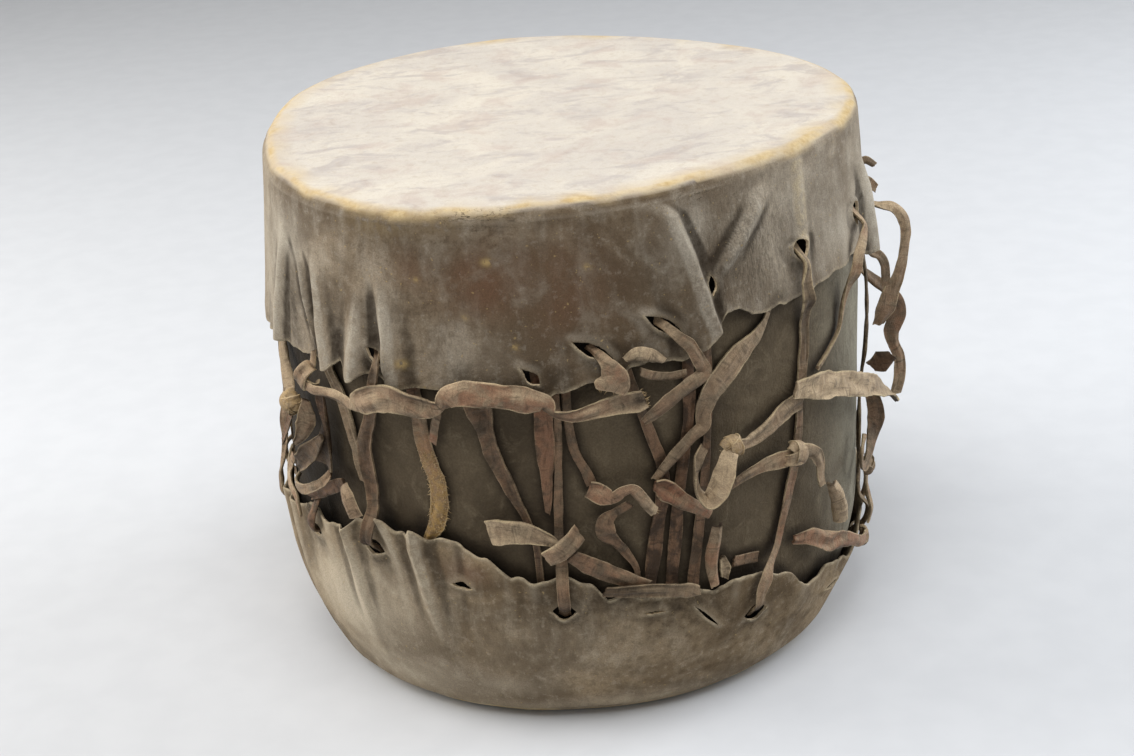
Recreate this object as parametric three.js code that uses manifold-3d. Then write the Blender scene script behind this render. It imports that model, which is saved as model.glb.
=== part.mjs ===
// A two-headed ritual drum: a hollow wooden shell under two rawhide heads, whose skirts are pulled
// together by flat rawhide straps laced through slits, with knots and loose ends left as they dried.
// Millimetres, +Z up, origin at the centre of the underside, the front facing -Y.
// A place on the drum is written as angle, height, lift: degrees from the front towards the drum's
// right, height above the underside, and distance out from the drum's smooth wall.
import * as THREE from "three";
import { mergeVertices } from "three/addons/utils/BufferGeometryUtils.js";
import Module from "manifold-3d";

// The drum's outside, over the hides
const HEIGHT = 393;
const HEAD_RADIUS = 215;
const BELLY_RADIUS = 222;
const BASE_RADIUS = 196;
const TAPER_HEIGHT = 95; // the wall narrows to the base below this height
const SHOULDER_HEIGHT = 240; // and draws in to the upper head above this one
const THREE_LOBES = -0.045; // the heads are not quite round: share of the radius, full at the upper head
const TWO_LOBES = 0.015;

// The wooden shell
const SHELL_INSET = 5;
const SHELL_WALL = 16;
const SHELL_END_GAP = 2.8;
const SHELL_CHAMFER = 8; // the ends are eased so that the hides turn over them
const SHELL_SEGMENTS = 36;

// The rawhide heads
const HIDE = 2.2;
const RIM_ROUND = 9;
const FLARE = 3; // the free edge stands this far off the wall
const NOMINAL_SKIRT = 120;
const HIDE_SEGMENTS = 66;
const FRONT_CROWD = 0.5; // how far the hides' steps are crowded towards the front
const SLIT_DEPTH = 40;
const SLIT_SHARES = [0, 0.3, 0.7, 1];

// The rawhide straps
const STRAP = 2.4;
const ON_SHELL = -3.3; // lift of a strap that lies on the wood
const LONG_SPAN = 60; // a longer span between two points of a route is made in two steps

const { clamp, degToRad, smoothstep, lerp } = THREE.MathUtils;
const wasm = await Module();
wasm.setup();

// The smooth wall

function wallRadius(angle, height) {
  const taper = 1 - (1 - clamp(height / TAPER_HEIGHT, 0, 1)) ** 2;
  const shoulder = clamp((height - SHOULDER_HEIGHT) / (HEIGHT - SHOULDER_HEIGHT), 0, 1) ** 2;
  const round = lerp(BASE_RADIUS, BELLY_RADIUS, taper) - (BELLY_RADIUS - HEAD_RADIUS) * shoulder;
  const turn = degToRad(angle);
  const lobes = THREE_LOBES * Math.sin(3 * turn) + TWO_LOBES * Math.sin(2 * turn);
  return round * (1 + (lobes * clamp(height, 0, HEIGHT)) / HEIGHT);
}

function outward(angle) {
  return new THREE.Vector3(Math.sin(degToRad(angle)), -Math.cos(degToRad(angle)), 0);
}

function place([angle, height, lift]) {
  const point = outward(angle).multiplyScalar(wallRadius(angle, height) + lift);
  return point.setZ(height);
}

function angleOf(point) {
  return THREE.MathUtils.radToDeg(Math.atan2(point.x, -point.y));
}

// Turns a profile about the drum's axis and moves each point to where the real wall is.
function turned(profile, segments, move, crowd = 0) {
  const lathe = new THREE.LatheGeometry(profile, segments);
  lathe.rotateX(Math.PI / 2);
  const position = lathe.getAttribute("position");
  const point = new THREE.Vector3();
  for (let i = 0; i < position.count; i++) {
    point.fromBufferAttribute(position, i);
    const even = angleOf(point);
    const angle = even - THREE.MathUtils.radToDeg(crowd * Math.sin(degToRad(even)));
    const moved = move(Math.hypot(point.x, point.y), angle, point.z);
    point.copy(outward(angle).multiplyScalar(moved.radius)).setZ(moved.height);
    position.setXYZ(i, point.x, point.y, point.z);
  }
  return lathe;
}

// Solids and booleans

function solidOf(geometry) {
  const bare = geometry.clone();
  bare.deleteAttribute("normal");
  bare.deleteAttribute("uv");
  const merged = mergeVertices(bare, 1e-3);
  const vertProperties = merged.getAttribute("position").array;
  const triVerts = new Uint32Array(merged.index.array);
  return new wasm.Manifold(new wasm.Mesh({ numProp: 3, vertProperties, triVerts }));
}

function geometryOf(solid) {
  const mesh = solid.getMesh();
  const geometry = new THREE.BufferGeometry();
  geometry.setAttribute("position", new THREE.BufferAttribute(mesh.vertProperties, 3));
  geometry.setIndex(new THREE.BufferAttribute(mesh.triVerts, 1));
  geometry.computeVertexNormals();
  return geometry;
}

// The shell: a hollowed trunk, open at both ends

function shellGeometry() {
  const outside = BELLY_RADIUS - SHELL_INSET;
  const inside = outside - SHELL_WALL;
  const low = SHELL_END_GAP;
  const high = HEIGHT - SHELL_END_GAP;
  const eased = outside - SHELL_CHAMFER;
  const middle = [0.5 * TAPER_HEIGHT, TAPER_HEIGHT, SHOULDER_HEIGHT];
  const outer = [low + SHELL_CHAMFER, ...middle, high - SHELL_CHAMFER];
  const inner = [high, SHOULDER_HEIGHT, TAPER_HEIGHT, 0.4 * TAPER_HEIGHT, low];
  const profile = [
    new THREE.Vector2(eased, low),
    ...outer.map((height) => new THREE.Vector2(outside, height)),
    new THREE.Vector2(eased, high),
    ...inner.map((height) => new THREE.Vector2(inside, height)),
  ];
  profile.push(profile[0].clone());
  return turned(profile, SHELL_SEGMENTS, (radius, angle, height) => ({
    radius: (radius * wallRadius(angle, height)) / BELLY_RADIUS,
    height,
  }));
}

// The hides: a flat head, a rounded rim and a skirt with a ragged free edge

// Heights of the free edges as angle, height, hand-picked round the drum
const UPPER_EDGE = [
  [-180, 272], [-158, 264], [-136, 278], [-114, 266], [-95, 272], [-77, 264], [-63, 274], [-52.5, 273],
  [-48, 278], [-44.8, 271], [-41.4, 279], [-38.4, 270], [-34.4, 277], [-30.4, 270], [-25, 271], [-14.5, 268],
  [-5, 263], [-1, 267], [4, 271], [9, 271], [11, 278], [14, 280], [17, 277], [20, 274], [24, 281],
  [27.5, 290], [29.4, 300], [32, 300], [36.6, 291], [44.5, 291], [50.5, 292], [60.5, 295], [63.5, 297],
  [70, 292], [75, 284], [90, 280], [112, 268], [134, 280], [157, 266], [180, 272],
];
const LOWER_EDGE = [
  [-180, 112], [-158, 124], [-136, 112], [-114, 126], [-92, 128], [-78, 130], [-66, 136], [-58, 147],
  [-52, 143], [-46, 147], [-42.5, 157], [-39.6, 154], [-36.6, 166], [-33.2, 156], [-31.6, 156], [-29.2, 165],
  [-27, 154], [-24.5, 157], [-17, 146], [-12, 131], [-8, 126], [-3.7, 130], [1, 123], [4.3, 109], [7, 113],
  [10, 105], [19, 103], [24, 98], [29, 102], [33, 99], [39, 90], [46.5, 68], [50, 66], [53.5, 70], [60, 62],
  [67, 50], [76, 53], [86, 62], [100, 84], [120, 96], [140, 110], [160, 102], [180, 112],
];

// Folds drawn in the skirts by the lacing: angle at the rim, angle at the edge, half width on its left and
// on its right, rise, share of the skirt where it begins
const UPPER_FOLDS = [
  [-79, -80, 6, 5, 2, 0.05], [-69, -71, 5, 4.5, 2.5, 0.1], [-61, -61.5, 4, 5, 5, 0.1],
  [-50.5, -50, 4, 2.4, 5, 0.1], [-45, -44.8, 2.6, 3, 6, 0.2], [-37, -38, 3.6, 3.6, 7, 0.3],
  [-31.5, -30.6, 2.8, 6, 6, 0.15],
  [-12, -12, 6, 6, 2, 0.4], [12, 12, 5, 5, 2, 0.4], [17, 26.6, 9, 2.8, 9.5, 0], [42, 31.5, 4, 4, 4, 0],
  [61, 61, 5, 5, 3, 0.3], [74, 76, 4.5, 4.5, 8, 0.1],
];
const LOWER_FOLDS = [
  [-72, -76, 5, 5, 5, 0.2], [-63, -68, 5, 5, 6, 0.1], [-51, -52, 5, 4, 4, 0.2], [-42, -45.8, 3.6, 3, 7, 0],
  [-32, -36.4, 3.4, 3, 6, 0.2], [-25, -29.2, 3.6, 3.6, 8, 0], [-15, -16, 6, 6, 3, 0.3],
  [-9, -9.5, 4, 4, 2, 0.3], [5, 5, 5, 5, 2, 0.4], [27, 28, 5, 5, 3, 0.4], [44, 45, 6, 6, 3, 0.3],
];
const BACK_FOLD = { from: 96, step: 12, count: 15, half: 6, rise: 1.6, begin: 0.2 };

function backFolds() {
  const folds = [];
  for (let i = 0; i < BACK_FOLD.count; i++) {
    const rise = BACK_FOLD.rise * (1 + 0.5 * Math.sin(i * 2.4));
    const angle = BACK_FOLD.from + BACK_FOLD.step * i;
    folds.push([angle, angle, BACK_FOLD.half, BACK_FOLD.half, rise, BACK_FOLD.begin]);
  }
  return folds;
}

function edgeHeight(edge, angle) {
  const last = edge.findIndex(([at]) => at >= angle);
  const [toAngle, toHeight] = edge[Math.max(last, 1)];
  const [fromAngle, fromHeight] = edge[Math.max(last, 1) - 1];
  return lerp(fromHeight, toHeight, smoothstep(angle, fromAngle, toAngle));
}

function foldLift(folds, angle, share) {
  let lift = FLARE * share ** 2;
  for (const [atRim, atEdge, left, right, rise, begin] of folds) {
    const across = THREE.MathUtils.euclideanModulo(angle - lerp(atRim, atEdge, share) + 180, 360) - 180;
    const half = across < 0 ? left : right;
    if (Math.abs(across) >= half) continue;
    lift += rise * 0.5 * (1 + Math.cos((Math.PI * across) / half)) * smoothstep(share, begin, 1);
  }
  return lift;
}

// The cap's profile with its head at depth 0, as radius and depth, from the head's middle and back to it.
function capProfile() {
  const outside = BELLY_RADIUS;
  const inside = BELLY_RADIUS - HIDE;
  const corner = RIM_ROUND * (1 - Math.SQRT1_2);
  return [
    [0, 0], [outside - RIM_ROUND, 0], [outside - corner, corner], [outside, RIM_ROUND],
    [outside, 0.4 * NOMINAL_SKIRT], [outside, 0.72 * NOMINAL_SKIRT], [outside, NOMINAL_SKIRT],
    [inside, NOMINAL_SKIRT], [inside, 0.72 * NOMINAL_SKIRT], [inside, 0.4 * NOMINAL_SKIRT],
    [inside, RIM_ROUND], [inside - RIM_ROUND, HIDE], [0, HIDE],
  ];
}

function hideGeometry({ upper, edge, folds, slits }) {
  const side = upper ? -1 : 1;
  const profile = capProfile().map(([radius, depth]) => new THREE.Vector2(radius, side * depth));
  if (upper) profile.reverse();
  const onWall = (radius, angle, height) => {
    const depth = Math.abs(height);
    const share = clamp((depth - RIM_ROUND) / (NOMINAL_SKIRT - RIM_ROUND), 0, 1);
    const skirt = upper ? HEIGHT - edgeHeight(edge, angle) : edgeHeight(edge, angle);
    const down = depth <= RIM_ROUND ? depth : lerp(RIM_ROUND, skirt, share);
    const real = upper ? HEIGHT - down : down;
    const scale = wallRadius(angle, real) / BELLY_RADIUS;
    return { radius: radius * scale + foldLift(folds, angle, share), height: real };
  };
  const lathe = turned(profile, HIDE_SEGMENTS, onWall, FRONT_CROWD);
  return geometryOf(slits.reduce((hide, slit) => hide.subtract(slitSolid(slit)), solidOf(lathe)));
}

// A slit pulled open by its strap: a lens cut straight in through the skirt, from one end to the other.
// A skew below one makes the lens widest near its first end.
function slitSolid([fromAngle, fromHeight, toAngle, toHeight, opening, skew = 1]) {
  const run = degToRad(toAngle - fromAngle) * BELLY_RADIUS;
  const rise = toHeight - fromHeight;
  const along = new THREE.Vector2(run, rise);
  const across = new THREE.Vector2(-rise, run).normalize();
  const rim = (share, side) => {
    const half = (side * opening * Math.sin(Math.PI * share ** skew)) / 2;
    return along.clone().multiplyScalar(share - 0.5).addScaledVector(across, half);
  };
  const there = SLIT_SHARES.map((share) => rim(share, -1));
  const back = SLIT_SHARES.slice(1, -1).reverse().map((share) => rim(share, 1));
  const lens = new THREE.Shape([...there, ...back]);
  const cutter = new THREE.ExtrudeGeometry(lens, { depth: SLIT_DEPTH, bevelEnabled: false });
  const angle = (fromAngle + toAngle) / 2;
  const radial = outward(angle);
  const up = new THREE.Vector3(0, 0, 1);
  const turn = new THREE.Matrix4().makeBasis(new THREE.Vector3().crossVectors(up, radial), up, radial);
  turn.setPosition(place([angle, (fromHeight + toHeight) / 2, -SLIT_DEPTH / 2]));
  return solidOf(cutter.applyMatrix4(turn));
}

// Slits as angle and height of one end, angle and height of the other, opening, skew
const UPPER_SLITS = [
  [-34.4, 296, -31, 284, 9], [-7.6, 287, -4.6, 274, 8, 1.6], [1.2, 301, 8.2, 285, 9],
  [14.1, 311, 21, 292, 9], [27.2, 328, 27, 314, 6], [47.6, 331, 48.1, 314, 14, 0.6],
  [68, 332, 68.8, 313, 14, 0.6], [85.4, 306, 90.6, 306, 14],
];
const LOWER_SLITS = [
  [-85.2, 107, -80.8, 107, 14], [-60.3, 126, -54.3, 131, 10], [-41.4, 142, -36.6, 138, 13],
  [-23.5, 123, -19.5, 121, 6], [-6, 104, -1.6, 102, 13], [9.7, 94.6, 14.3, 93, 2], [19.6, 91, 24.4, 69, 2.4],
  [29.6, 69, 35, 69, 13], [61, 43, 54.4, 45.4, 6], [80.8, 40, 85.2, 40, 14], [89.1, 28, 92.9, 28, 12],
];

// The back is laced as a plain zigzag: up outside to a slit in the upper skirt, in and down behind it,
// across to the next slit in the lower skirt, in there and up behind it.
const BACK = {
  from: 108, to: 264, step: 24, apart: 2.4, width: 7.5, slit: { half: 3.7, opening: 17 },
  overEdge: 9.2, inEdge: 24, middle: 190, lift: -2.6,
};

function backAngles(first) {
  const angles = [];
  for (let angle = first; angle <= BACK.to; angle += BACK.step) {
    angles.push(angle > 180 ? angle - 360 : angle);
  }
  return angles;
}

const backUpper = backAngles(BACK.from);
const backLower = backAngles(BACK.from + BACK.step / 2);
const upperSlitHeight = (angle) => edgeHeight(UPPER_EDGE, angle) + BACK.inEdge;
const lowerSlitHeight = (angle) => edgeHeight(LOWER_EDGE, angle) - BACK.inEdge;
const backSlit = (heightAt) => (angle) => {
  const { half, opening } = BACK.slit;
  return [angle - half, heightAt(angle), angle + half, heightAt(angle), opening];
};

// A strap's turn through a slit: over the free edge, in at the slit and back out behind the edge.
function slitTurn(angle, heightAt, edge, side) {
  const slit = heightAt(angle);
  const rim = edgeHeight(edge, angle);
  const enter = angle - BACK.apart;
  const leave = angle + BACK.apart;
  return [
    [enter - 1, rim - side * 22, BACK.lift],
    [enter, rim - side * 8, 1],
    [enter, rim + side * 2, BACK.overEdge],
    [enter, slit - side * 6, BACK.overEdge],
    [angle, slit - side, 0.6],
    [leave, slit - side * 6, ON_SHELL],
    [leave + 1, rim - side * 20, BACK.lift],
  ];
}

function backRoute() {
  const middle = (angle) => [angle > 180 ? angle - 360 : angle, BACK.middle, BACK.lift];
  const route = [];
  backUpper.forEach((angle, i) => {
    route.push(...slitTurn(angle, upperSlitHeight, UPPER_EDGE, 1));
    if (i >= backLower.length) return;
    route.push(middle(angle + BACK.step / 4));
    route.push(...slitTurn(backLower[i], lowerSlitHeight, LOWER_EDGE, -1));
    route.push(middle(backLower[i] + BACK.step / 4));
  });
  return route;
}

// The straps. Each point is angle, height, lift, and where they change, width and twist in degrees.

const STRAPS = {
  // The left side: strands drawn into a bunch, with loose leaves and curled ends
  left_strand_1: { width: 8, route: [
    [-71, 290, ON_SHELL], [-69.5, 272, ON_SHELL], [-67.5, 262, -1, 8, -20], [-65.5, 255, 1, 8, -40],
    [-63, 247, 3, 8, -45], [-60.6, 239, 5, 8, -45], [-59.4, 234, 6, 7, -40],
  ] },
  left_strand_2: { width: 8, route: [
    [-84, 284, ON_SHELL], [-84, 262, ON_SHELL], [-84, 230, ON_SHELL], [-84, 205, ON_SHELL],
    [-84.5, 187, -2.2, 7, -20], [-84.5, 172, 0.4, 7, -60], [-84.5, 156, 1.4, 7, -50],
    [-84, 143, 3.4, 7, -30], [-83.3, 131, 7.4], [-83, 124, 7.6], [-83, 115, 7.4], [-83, 107, 0.6],
    [-83, 102, -2.8],
  ] },
  left_flick: { width: 5, route: [
    [-57.4, 229, 8], [-58.8, 220, 9], [-61.4, 206, 9.5], [-65.2, 189, 10, 3],
  ] },
  left_leaf_1: { width: 12, route: [
    [-51.6, 241, 9, 6, -40], [-51.7, 231, 10, 13, -45], [-51.9, 223, 11, 15, -45],
    [-53, 213, 14, 8, -45], [-54.6, 206, 16, 4, -40],
  ] },
  left_bow: { width: 14, route: [
    [-48.6, 216, 7, 4], [-50.6, 208, 7.4, 10, -5], [-53.5, 198, 8.6, 16, -15],
    [-56.5, 187, 9.2, 14, -15], [-58.6, 179, 8.6, 8, -15],
  ] },
  left_leaf_2: { width: 14, route: [
    [-48.8, 247, 2.5, 8], [-48.8, 235, 2.5, 9], [-48.5, 223, 2.5, 10], [-49, 211, 3, 17],
    [-49.6, 201, 3, 22], [-50, 191, 3, 24],
  ] },
  left_strand_3: { width: 12, route: [
    [-47.5, 284, ON_SHELL], [-47.2, 266, ON_SHELL], [-45.1, 252, ON_SHELL], [-43.5, 234, ON_SHELL],
    [-42.4, 216, ON_SHELL], [-41.4, 197, ON_SHELL, 11], [-41, 186, ON_SHELL, 8],
  ] },
  left_strand_4: { width: 9, route: [
    [-33.2, 293.5, -2.8, 6], [-32.6, 290.5, 0.8, 6], [-31.9, 285, 9.6, 6], [-32.3, 277, 11, 8],
    [-33.4, 268, 9.5, 8], [-34.6, 258, 4], [-35.8, 250, 0], [-36.9, 238, -0.6, 11], [-38.6, 219, 0, 14],
    [-38.6, 204, 0.2, 14], [-38.2, 184, 0.4, 11], [-37.9, 169, 4.6], [-38.3, 159, 10.4],
    [-38.8, 148, 10.8], [-39.1, 140, 1.8, 8], [-39.2, 135, -2.4, 8],
  ] },
  left_curl: { width: 6.5, route: [
    [-47.6, 188, 6.5, 6], [-48.4, 183, 10, 7], [-51, 176, 13.5, 7.5], [-55.5, 168, 14, 7.5],
    [-59.5, 166.5, 10.5, 7], [-61, 169, 5.5, 6],
  ] },
  left_strand_5: { width: 7, route: [
    [-63.6, 180, 4, 5], [-66.4, 164, 6], [-64.5, 156, 9], [-61.8, 150, 9.5], [-61.5, 142, 9, 5],
    [-61.3, 134, 8.6, 3],
  ] },
  left_stub: { width: 8, route: [
    [-56.2, 158, -2], [-56, 149, 4.4], [-55.8, 141, 9.2, 9], [-56.4, 134, 8.4, 8], [-57, 129, 1, 7],
    [-57, 124, -2.8, 7],
  ] },
  left_tail: { width: 10, route: [
    [-57.8, 157, 4.6, 9], [-52.4, 167, 3.6], [-47.6, 178, 3.8, 10], [-44.6, 184, 4, 8],
  ] },
  left_flag: { width: 17, route: [
    [-43.4, 184.5, 7, 10], [-42.5, 179, 9, 16], [-41.6, 171, 9.8, 17], [-41, 165, 9, 16],
  ] },

  // The upper lashing, twisted from strand to strand across the front
  upper_lashing: { width: 12, route: [
    [-47.6, 282, 6.4, 5], [-47.8, 272, 8, 6], [-49.2, 263, 12, 7], [-46.9, 258, 14, 7],
    [-43.7, 258, 12, 8], [-40.8, 257, 10.5, 9], [-37.6, 254, 11, 8], [-36.3, 257, 12.4, 16],
    [-34.9, 259.5, 13.4, 19], [-32, 264, 14, 20], [-29.5, 266, 14, 20], [-25.3, 263, 12, 18],
    [-22.5, 261, 10.5, 13], [-20.9, 264, 10, 9, 45], [-19.6, 269, 10, 14], [-16.5, 273, 10, 18],
    [-11.5, 271, 10, 18], [-6.6, 267, 10, 17], [-3.7, 264, 10, 11], [-2.8, 257, 9, 8, 40],
    [0.3, 252, 8, 10], [4.2, 254, 8, 10], [7.9, 256, 8, 13], [11.1, 256.5, 9, 16], [12.4, 258, 9.6, 14],
  ] },

  // Strands on the wood across the front
  front_strand_1: { width: 11, route: [
    [-27.4, 284, ON_SHELL, 10], [-27, 260, ON_SHELL, 10], [-26.6, 248, ON_SHELL],
    [-26.4, 229, ON_SHELL], [-25.5, 212, -3, 12], [-24.5, 200, -2.6, 13], [-24.6, 181, -2.4, 14],
    [-25.8, 165, -2.8, 12], [-28, 152, ON_SHELL, 7], [-28.6, 142, ON_SHELL, 5],
  ] },
  front_strand_1b: { width: 6, route: [
    [-21.6, 260, 5, 5], [-22.2, 253, 3.4], [-23.1, 244, 1.5, 6.5], [-24, 231, 0.5, 5],
  ] },
  front_strand_2: { width: 12, route: [
    [-17.4, 282, ON_SHELL, 16], [-16.2, 263, ON_SHELL, 19], [-15.4, 253, ON_SHELL, 18],
    [-14.7, 240, ON_SHELL, 12.5], [-13.9, 223, ON_SHELL], [-12.2, 205, ON_SHELL, 10],
    [-10.6, 188, ON_SHELL, 7], [-9.2, 174, ON_SHELL, 5], [-7.8, 152, ON_SHELL, 5],
    [-7.6, 134, ON_SHELL, 5], [-7.6, 116, ON_SHELL, 5],
  ] },
  front_tail: { width: 12, route: [
    [-4.8, 282, ON_SHELL], [-4.6, 259, ON_SHELL], [-4.6, 245, ON_SHELL], [-4.7, 229, ON_SHELL],
    [-4.9, 208, ON_SHELL, 9], [-5.1, 187, ON_SHELL, 6], [-5.3, 177, ON_SHELL, 3],
  ] },
  front_strand_3: { width: 4.5, route: [
    [-2.2, 280, ON_SHELL], [-2.2, 240, ON_SHELL], [-2.8, 208, ON_SHELL], [-3.4, 178, ON_SHELL, 6],
    [-3.7, 159, ON_SHELL, 6], [-3.6, 143, -2.4, 7], [-3.6, 135, -0.5, 8], [-3.6, 127, 7.4, 8],
    [-3.6, 112, 8.4, 8], [-3.7, 104, 0.8, 7], [-3.8, 99, -2.8, 8],
  ] },
  front_strand_4: { width: 6, route: [
    [-0.3, 278, ON_SHELL], [-0.4, 246, ON_SHELL], [0.3, 221, ON_SHELL], [2, 205, ON_SHELL, 7],
    [2.7, 196, ON_SHELL, 7],
  ] },
  front_strand_5: { width: 8, route: [
    [9.6, 284, ON_SHELL], [11, 262, ON_SHELL], [12.6, 242, ON_SHELL], [14.3, 220, ON_SHELL],
    [15.6, 202, ON_SHELL], [15.5, 182, ON_SHELL, 10], [14, 153, ON_SHELL, 11],
    [12.8, 131, ON_SHELL, 11], [12, 114, ON_SHELL, 9], [11.8, 96, ON_SHELL],
  ] },
  front_strand_6: { width: 8, route: [
    [22.4, 292, ON_SHELL], [22, 262, ON_SHELL], [21.7, 239, ON_SHELL], [20.3, 207, ON_SHELL],
    [18.4, 171, ON_SHELL, 9], [17.3, 142, ON_SHELL, 10], [16.2, 116, ON_SHELL, 9], [16, 96, ON_SHELL],
  ] },
  front_strand_7: { width: 7, route: [
    [26.2, 296, ON_SHELL], [25.8, 262, ON_SHELL], [25, 217, ON_SHELL], [23.7, 181, ON_SHELL],
    [22.3, 152, ON_SHELL, 8], [20.9, 123, ON_SHELL, 9], [20.2, 106, ON_SHELL, 8], [20, 94, ON_SHELL],
  ] },

  // Straps gathered at two slits of the upper skirt
  gather_strand: { width: 9, route: [
    [16.2, 305, -2.8, 6], [17.5, 301.6, 2.2, 6], [19, 295.5, 10.5, 7], [20.6, 289, 12, 9],
    [22.5, 274, 11.5, 9], [23.3, 267.5, 11.5, 9, 40], [22.2, 263.5, 11, 9, 20], [19.9, 259.5, 10, 11],
    [16.6, 251, 8, 12], [13.8, 243, 6, 9], [12.2, 239, 5, 5],
  ] },
  gather_leaf: { width: 12, route: [
    [4, 295, -2.8, 5], [5, 292.4, 0.8, 5], [6.6, 286.5, 9.4, 9], [7.4, 278.5, 10, 20],
    [7.2, 271.5, 10.6, 24], [6.8, 267, 11, 21],
  ] },
  gather_bar: { width: 6, route: [
    [12.2, 275.5, 7, 5], [13.9, 272, 6.8], [16.2, 268.5, 5.6], [18.7, 267, 5.2], [20.6, 267, 5.2, 4],
  ] },
  gather_curl: { width: 8, route: [
    [9.8, 286, 7, 5], [11.5, 289, 9, 11], [13.9, 287, 9.5, 10], [16.3, 281, 9, 4],
  ] },

  // The diagonal from under the upper skirt to the lower lashing, and the lower lashing itself
  long_diagonal: { width: 12, route: [
    [41.6, 296, ON_SHELL, 4], [39.4, 282, -3.2, 5], [37.1, 274, -2.6, 12], [32.9, 265, -2, 17],
    [28.8, 254, -0.8, 17], [25.5, 244, 0, 15], [23.8, 232, 0.6, 11], [23.8, 224, 0.8, 10, 15],
    [21.4, 218, 0.6, 10], [18.4, 209, 0.4, 10], [15.8, 200, 0.2, 9], [14.1, 193, 0, 7],
  ] },
  lower_lashing: { width: 9, route: [
    [2.1, 194, 0, 14], [3.3, 192, 1.5, 16], [4.6, 189.5, 3.5, 15], [6.3, 188, 5], [7.7, 192, 6.5, 7.5],
    [9.4, 193, 7.5, 8], [10.8, 186, 7.5], [12, 178, 6.5], [13.1, 172, 5.5, 8],
  ] },
  lashing_tab: { width: 12, route: [
    [13.6, 190, 3.2, 8], [14.6, 188.5, 3.4, 12], [15.9, 183.5, 4, 15], [18.2, 175, 4.4],
    [21.2, 166, 4, 9], [23.6, 158, 3.4, 6],
  ] },
  hanging_strap: { width: 8, route: [
    [8.9, 180, 3, 6], [6.2, 175, 2.5, 6], [4.6, 170, 3, 12], [4.6, 161, 3, 15], [6.2, 152, 1],
    [8, 141, -0.8, 6], [9.6, 127, -2, 4.5], [9.4, 113, -2.8, 4],
  ] },

  // The knot low in the front, with its flat leaf, its wrap and its tail
  knot_leaf: { width: 12, route: [
    [-15.5, 166, 3.5, 19], [-13.5, 167, 4, 20], [-10.1, 167, 4.5, 16], [-6.7, 163, 5, 11],
    [-4.6, 159, 5.5, 7], [-3.4, 153, 6, 5],
  ] },
  knot_wrap: { width: 13, route: [
    [-0.1, 165.5, 6], [-1.4, 161, 9, 14], [-3.5, 154, 10.4, 15], [-5.9, 149, 10, 12],
  ] },
  knot_tail: { width: 12, route: [
    [-1.6, 146, 3, 10], [1.3, 138, 3.2, 13], [4.6, 130, 3.4, 13], [8.3, 122, 3.6, 11],
    [11, 117, 3.6, 8],
  ] },
  edge_strap: { width: 10, route: [
    [3.4, 118, 7, 6], [6.4, 116.5, 7.2, 9], [9.3, 115, 7.2], [13.6, 111.5, 7, 11], [18.2, 107, 6.8],
    [20.4, 104.5, 6.8, 6],
  ] },
  stub_strap: { width: 11, route: [
    [24.8, 149, 3, 12], [24.4, 138, 2.4, 14], [23.8, 125, 2, 14], [23.5, 113, 2.4, 12],
    [23.4, 104, 5.4, 9],
  ] },
  stub_fin: { width: 8, route: [[26.5, 119, -2.4, 4], [26.9, 110, -2.4, 9], [26.6, 102.5, -2.4, 7]] },
  short_strap: { width: 8, route: [[28.8, 112, -2.8], [31.5, 110.5, -2.8], [34.4, 108.5, -2.8]] },

  // Crossing straps on the right, one rolled into a loop and one knotted round a strand
  cross_strap: { width: 12, route: [
    [47.2, 213, -0.6, 14], [44.5, 213, -0.2, 15], [40.7, 210, 0.8, 15], [36.6, 205, 2, 11],
    [32.1, 202, 3.5, 8], [28.9, 204.5, 7.5, 8, 20], [27, 202, 12.5, 12, 45], [25.2, 191, 16, 15, 50],
    [23.9, 180, 15, 15, 50], [22.4, 173, 12, 12, 45], [21, 179, 9.5, 11, 50], [20.7, 193, 8.4, 9, 50],
    [21.7, 204, 6.4, 8], [23, 210, 5.4, 7],
  ] },
  lower_cross: { width: 9, route: [
    [27.4, 170, -0.4, 4], [31.8, 176, 0.3, 7], [36.3, 179, 1.5, 10], [39.7, 178, 2.5, 11],
    [41.8, 178, 5, 11], [44.1, 180, 8, 12, 20], [47.1, 175, 8.5, 11, 40], [49.2, 162, 7, 8, 20],
    [49.6, 150, 6, 7], [50, 143, 6, 6],
  ] },
  cone_leaf: { width: 14, route: [
    [53, 141, 6, 10, 40], [54.2, 130, 7.4, 17, 40], [55.6, 116, 7, 18, 40], [56.4, 104, 5.6, 13, 40],
  ] },

  // Strands, leaves and loops of the right side
  right_strand_1: { width: 9, route: [
    [47.7, 327, -2.8, 6], [47.7, 322.5, 0.6, 6], [47.5, 315, 8, 8], [47, 302, 8.4, 9, 20],
    [47.5, 289, 8, 9, 20], [48.6, 277, 0.5], [49.3, 264, ON_SHELL], [48.5, 234, ON_SHELL],
    [47.5, 211, ON_SHELL, 8], [46.4, 180, ON_SHELL, 7], [43.8, 156, -3, 10], [42.5, 141, -2.8, 10],
    [40.6, 123, -3, 7], [39, 112, -2, 8], [36.2, 104, 3, 7], [34.2, 96, 7], [32.6, 85, 7.4],
    [32.3, 77, 7.6, 8], [32.3, 70, 0.8, 7], [32.3, 65, -2.8, 7],
  ] },
  right_strand_2: { width: 7, route: [
    [68.3, 328, -2.8, 6], [68.4, 323.5, 0.6, 6], [68, 315.5, 8.6, 7, 15], [66, 308, 10, 8, 40],
    [63.8, 299, 10, 8, 45], [62.9, 288, 8.6, 8, 40], [62.9, 278, 3.5, 7, 20], [62.6, 262, -1.5, 6],
    [61.2, 245, -2.6, 5], [57.1, 235, -2.9, 4], [53.1, 228, -3, 3],
  ] },
  loose_leaf: { width: 16, route: [
    [43.9, 226, 4.6, 13], [48.3, 223, 6, 18], [54.7, 215, 7.5, 19], [62.3, 202, 9.5, 19],
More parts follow.
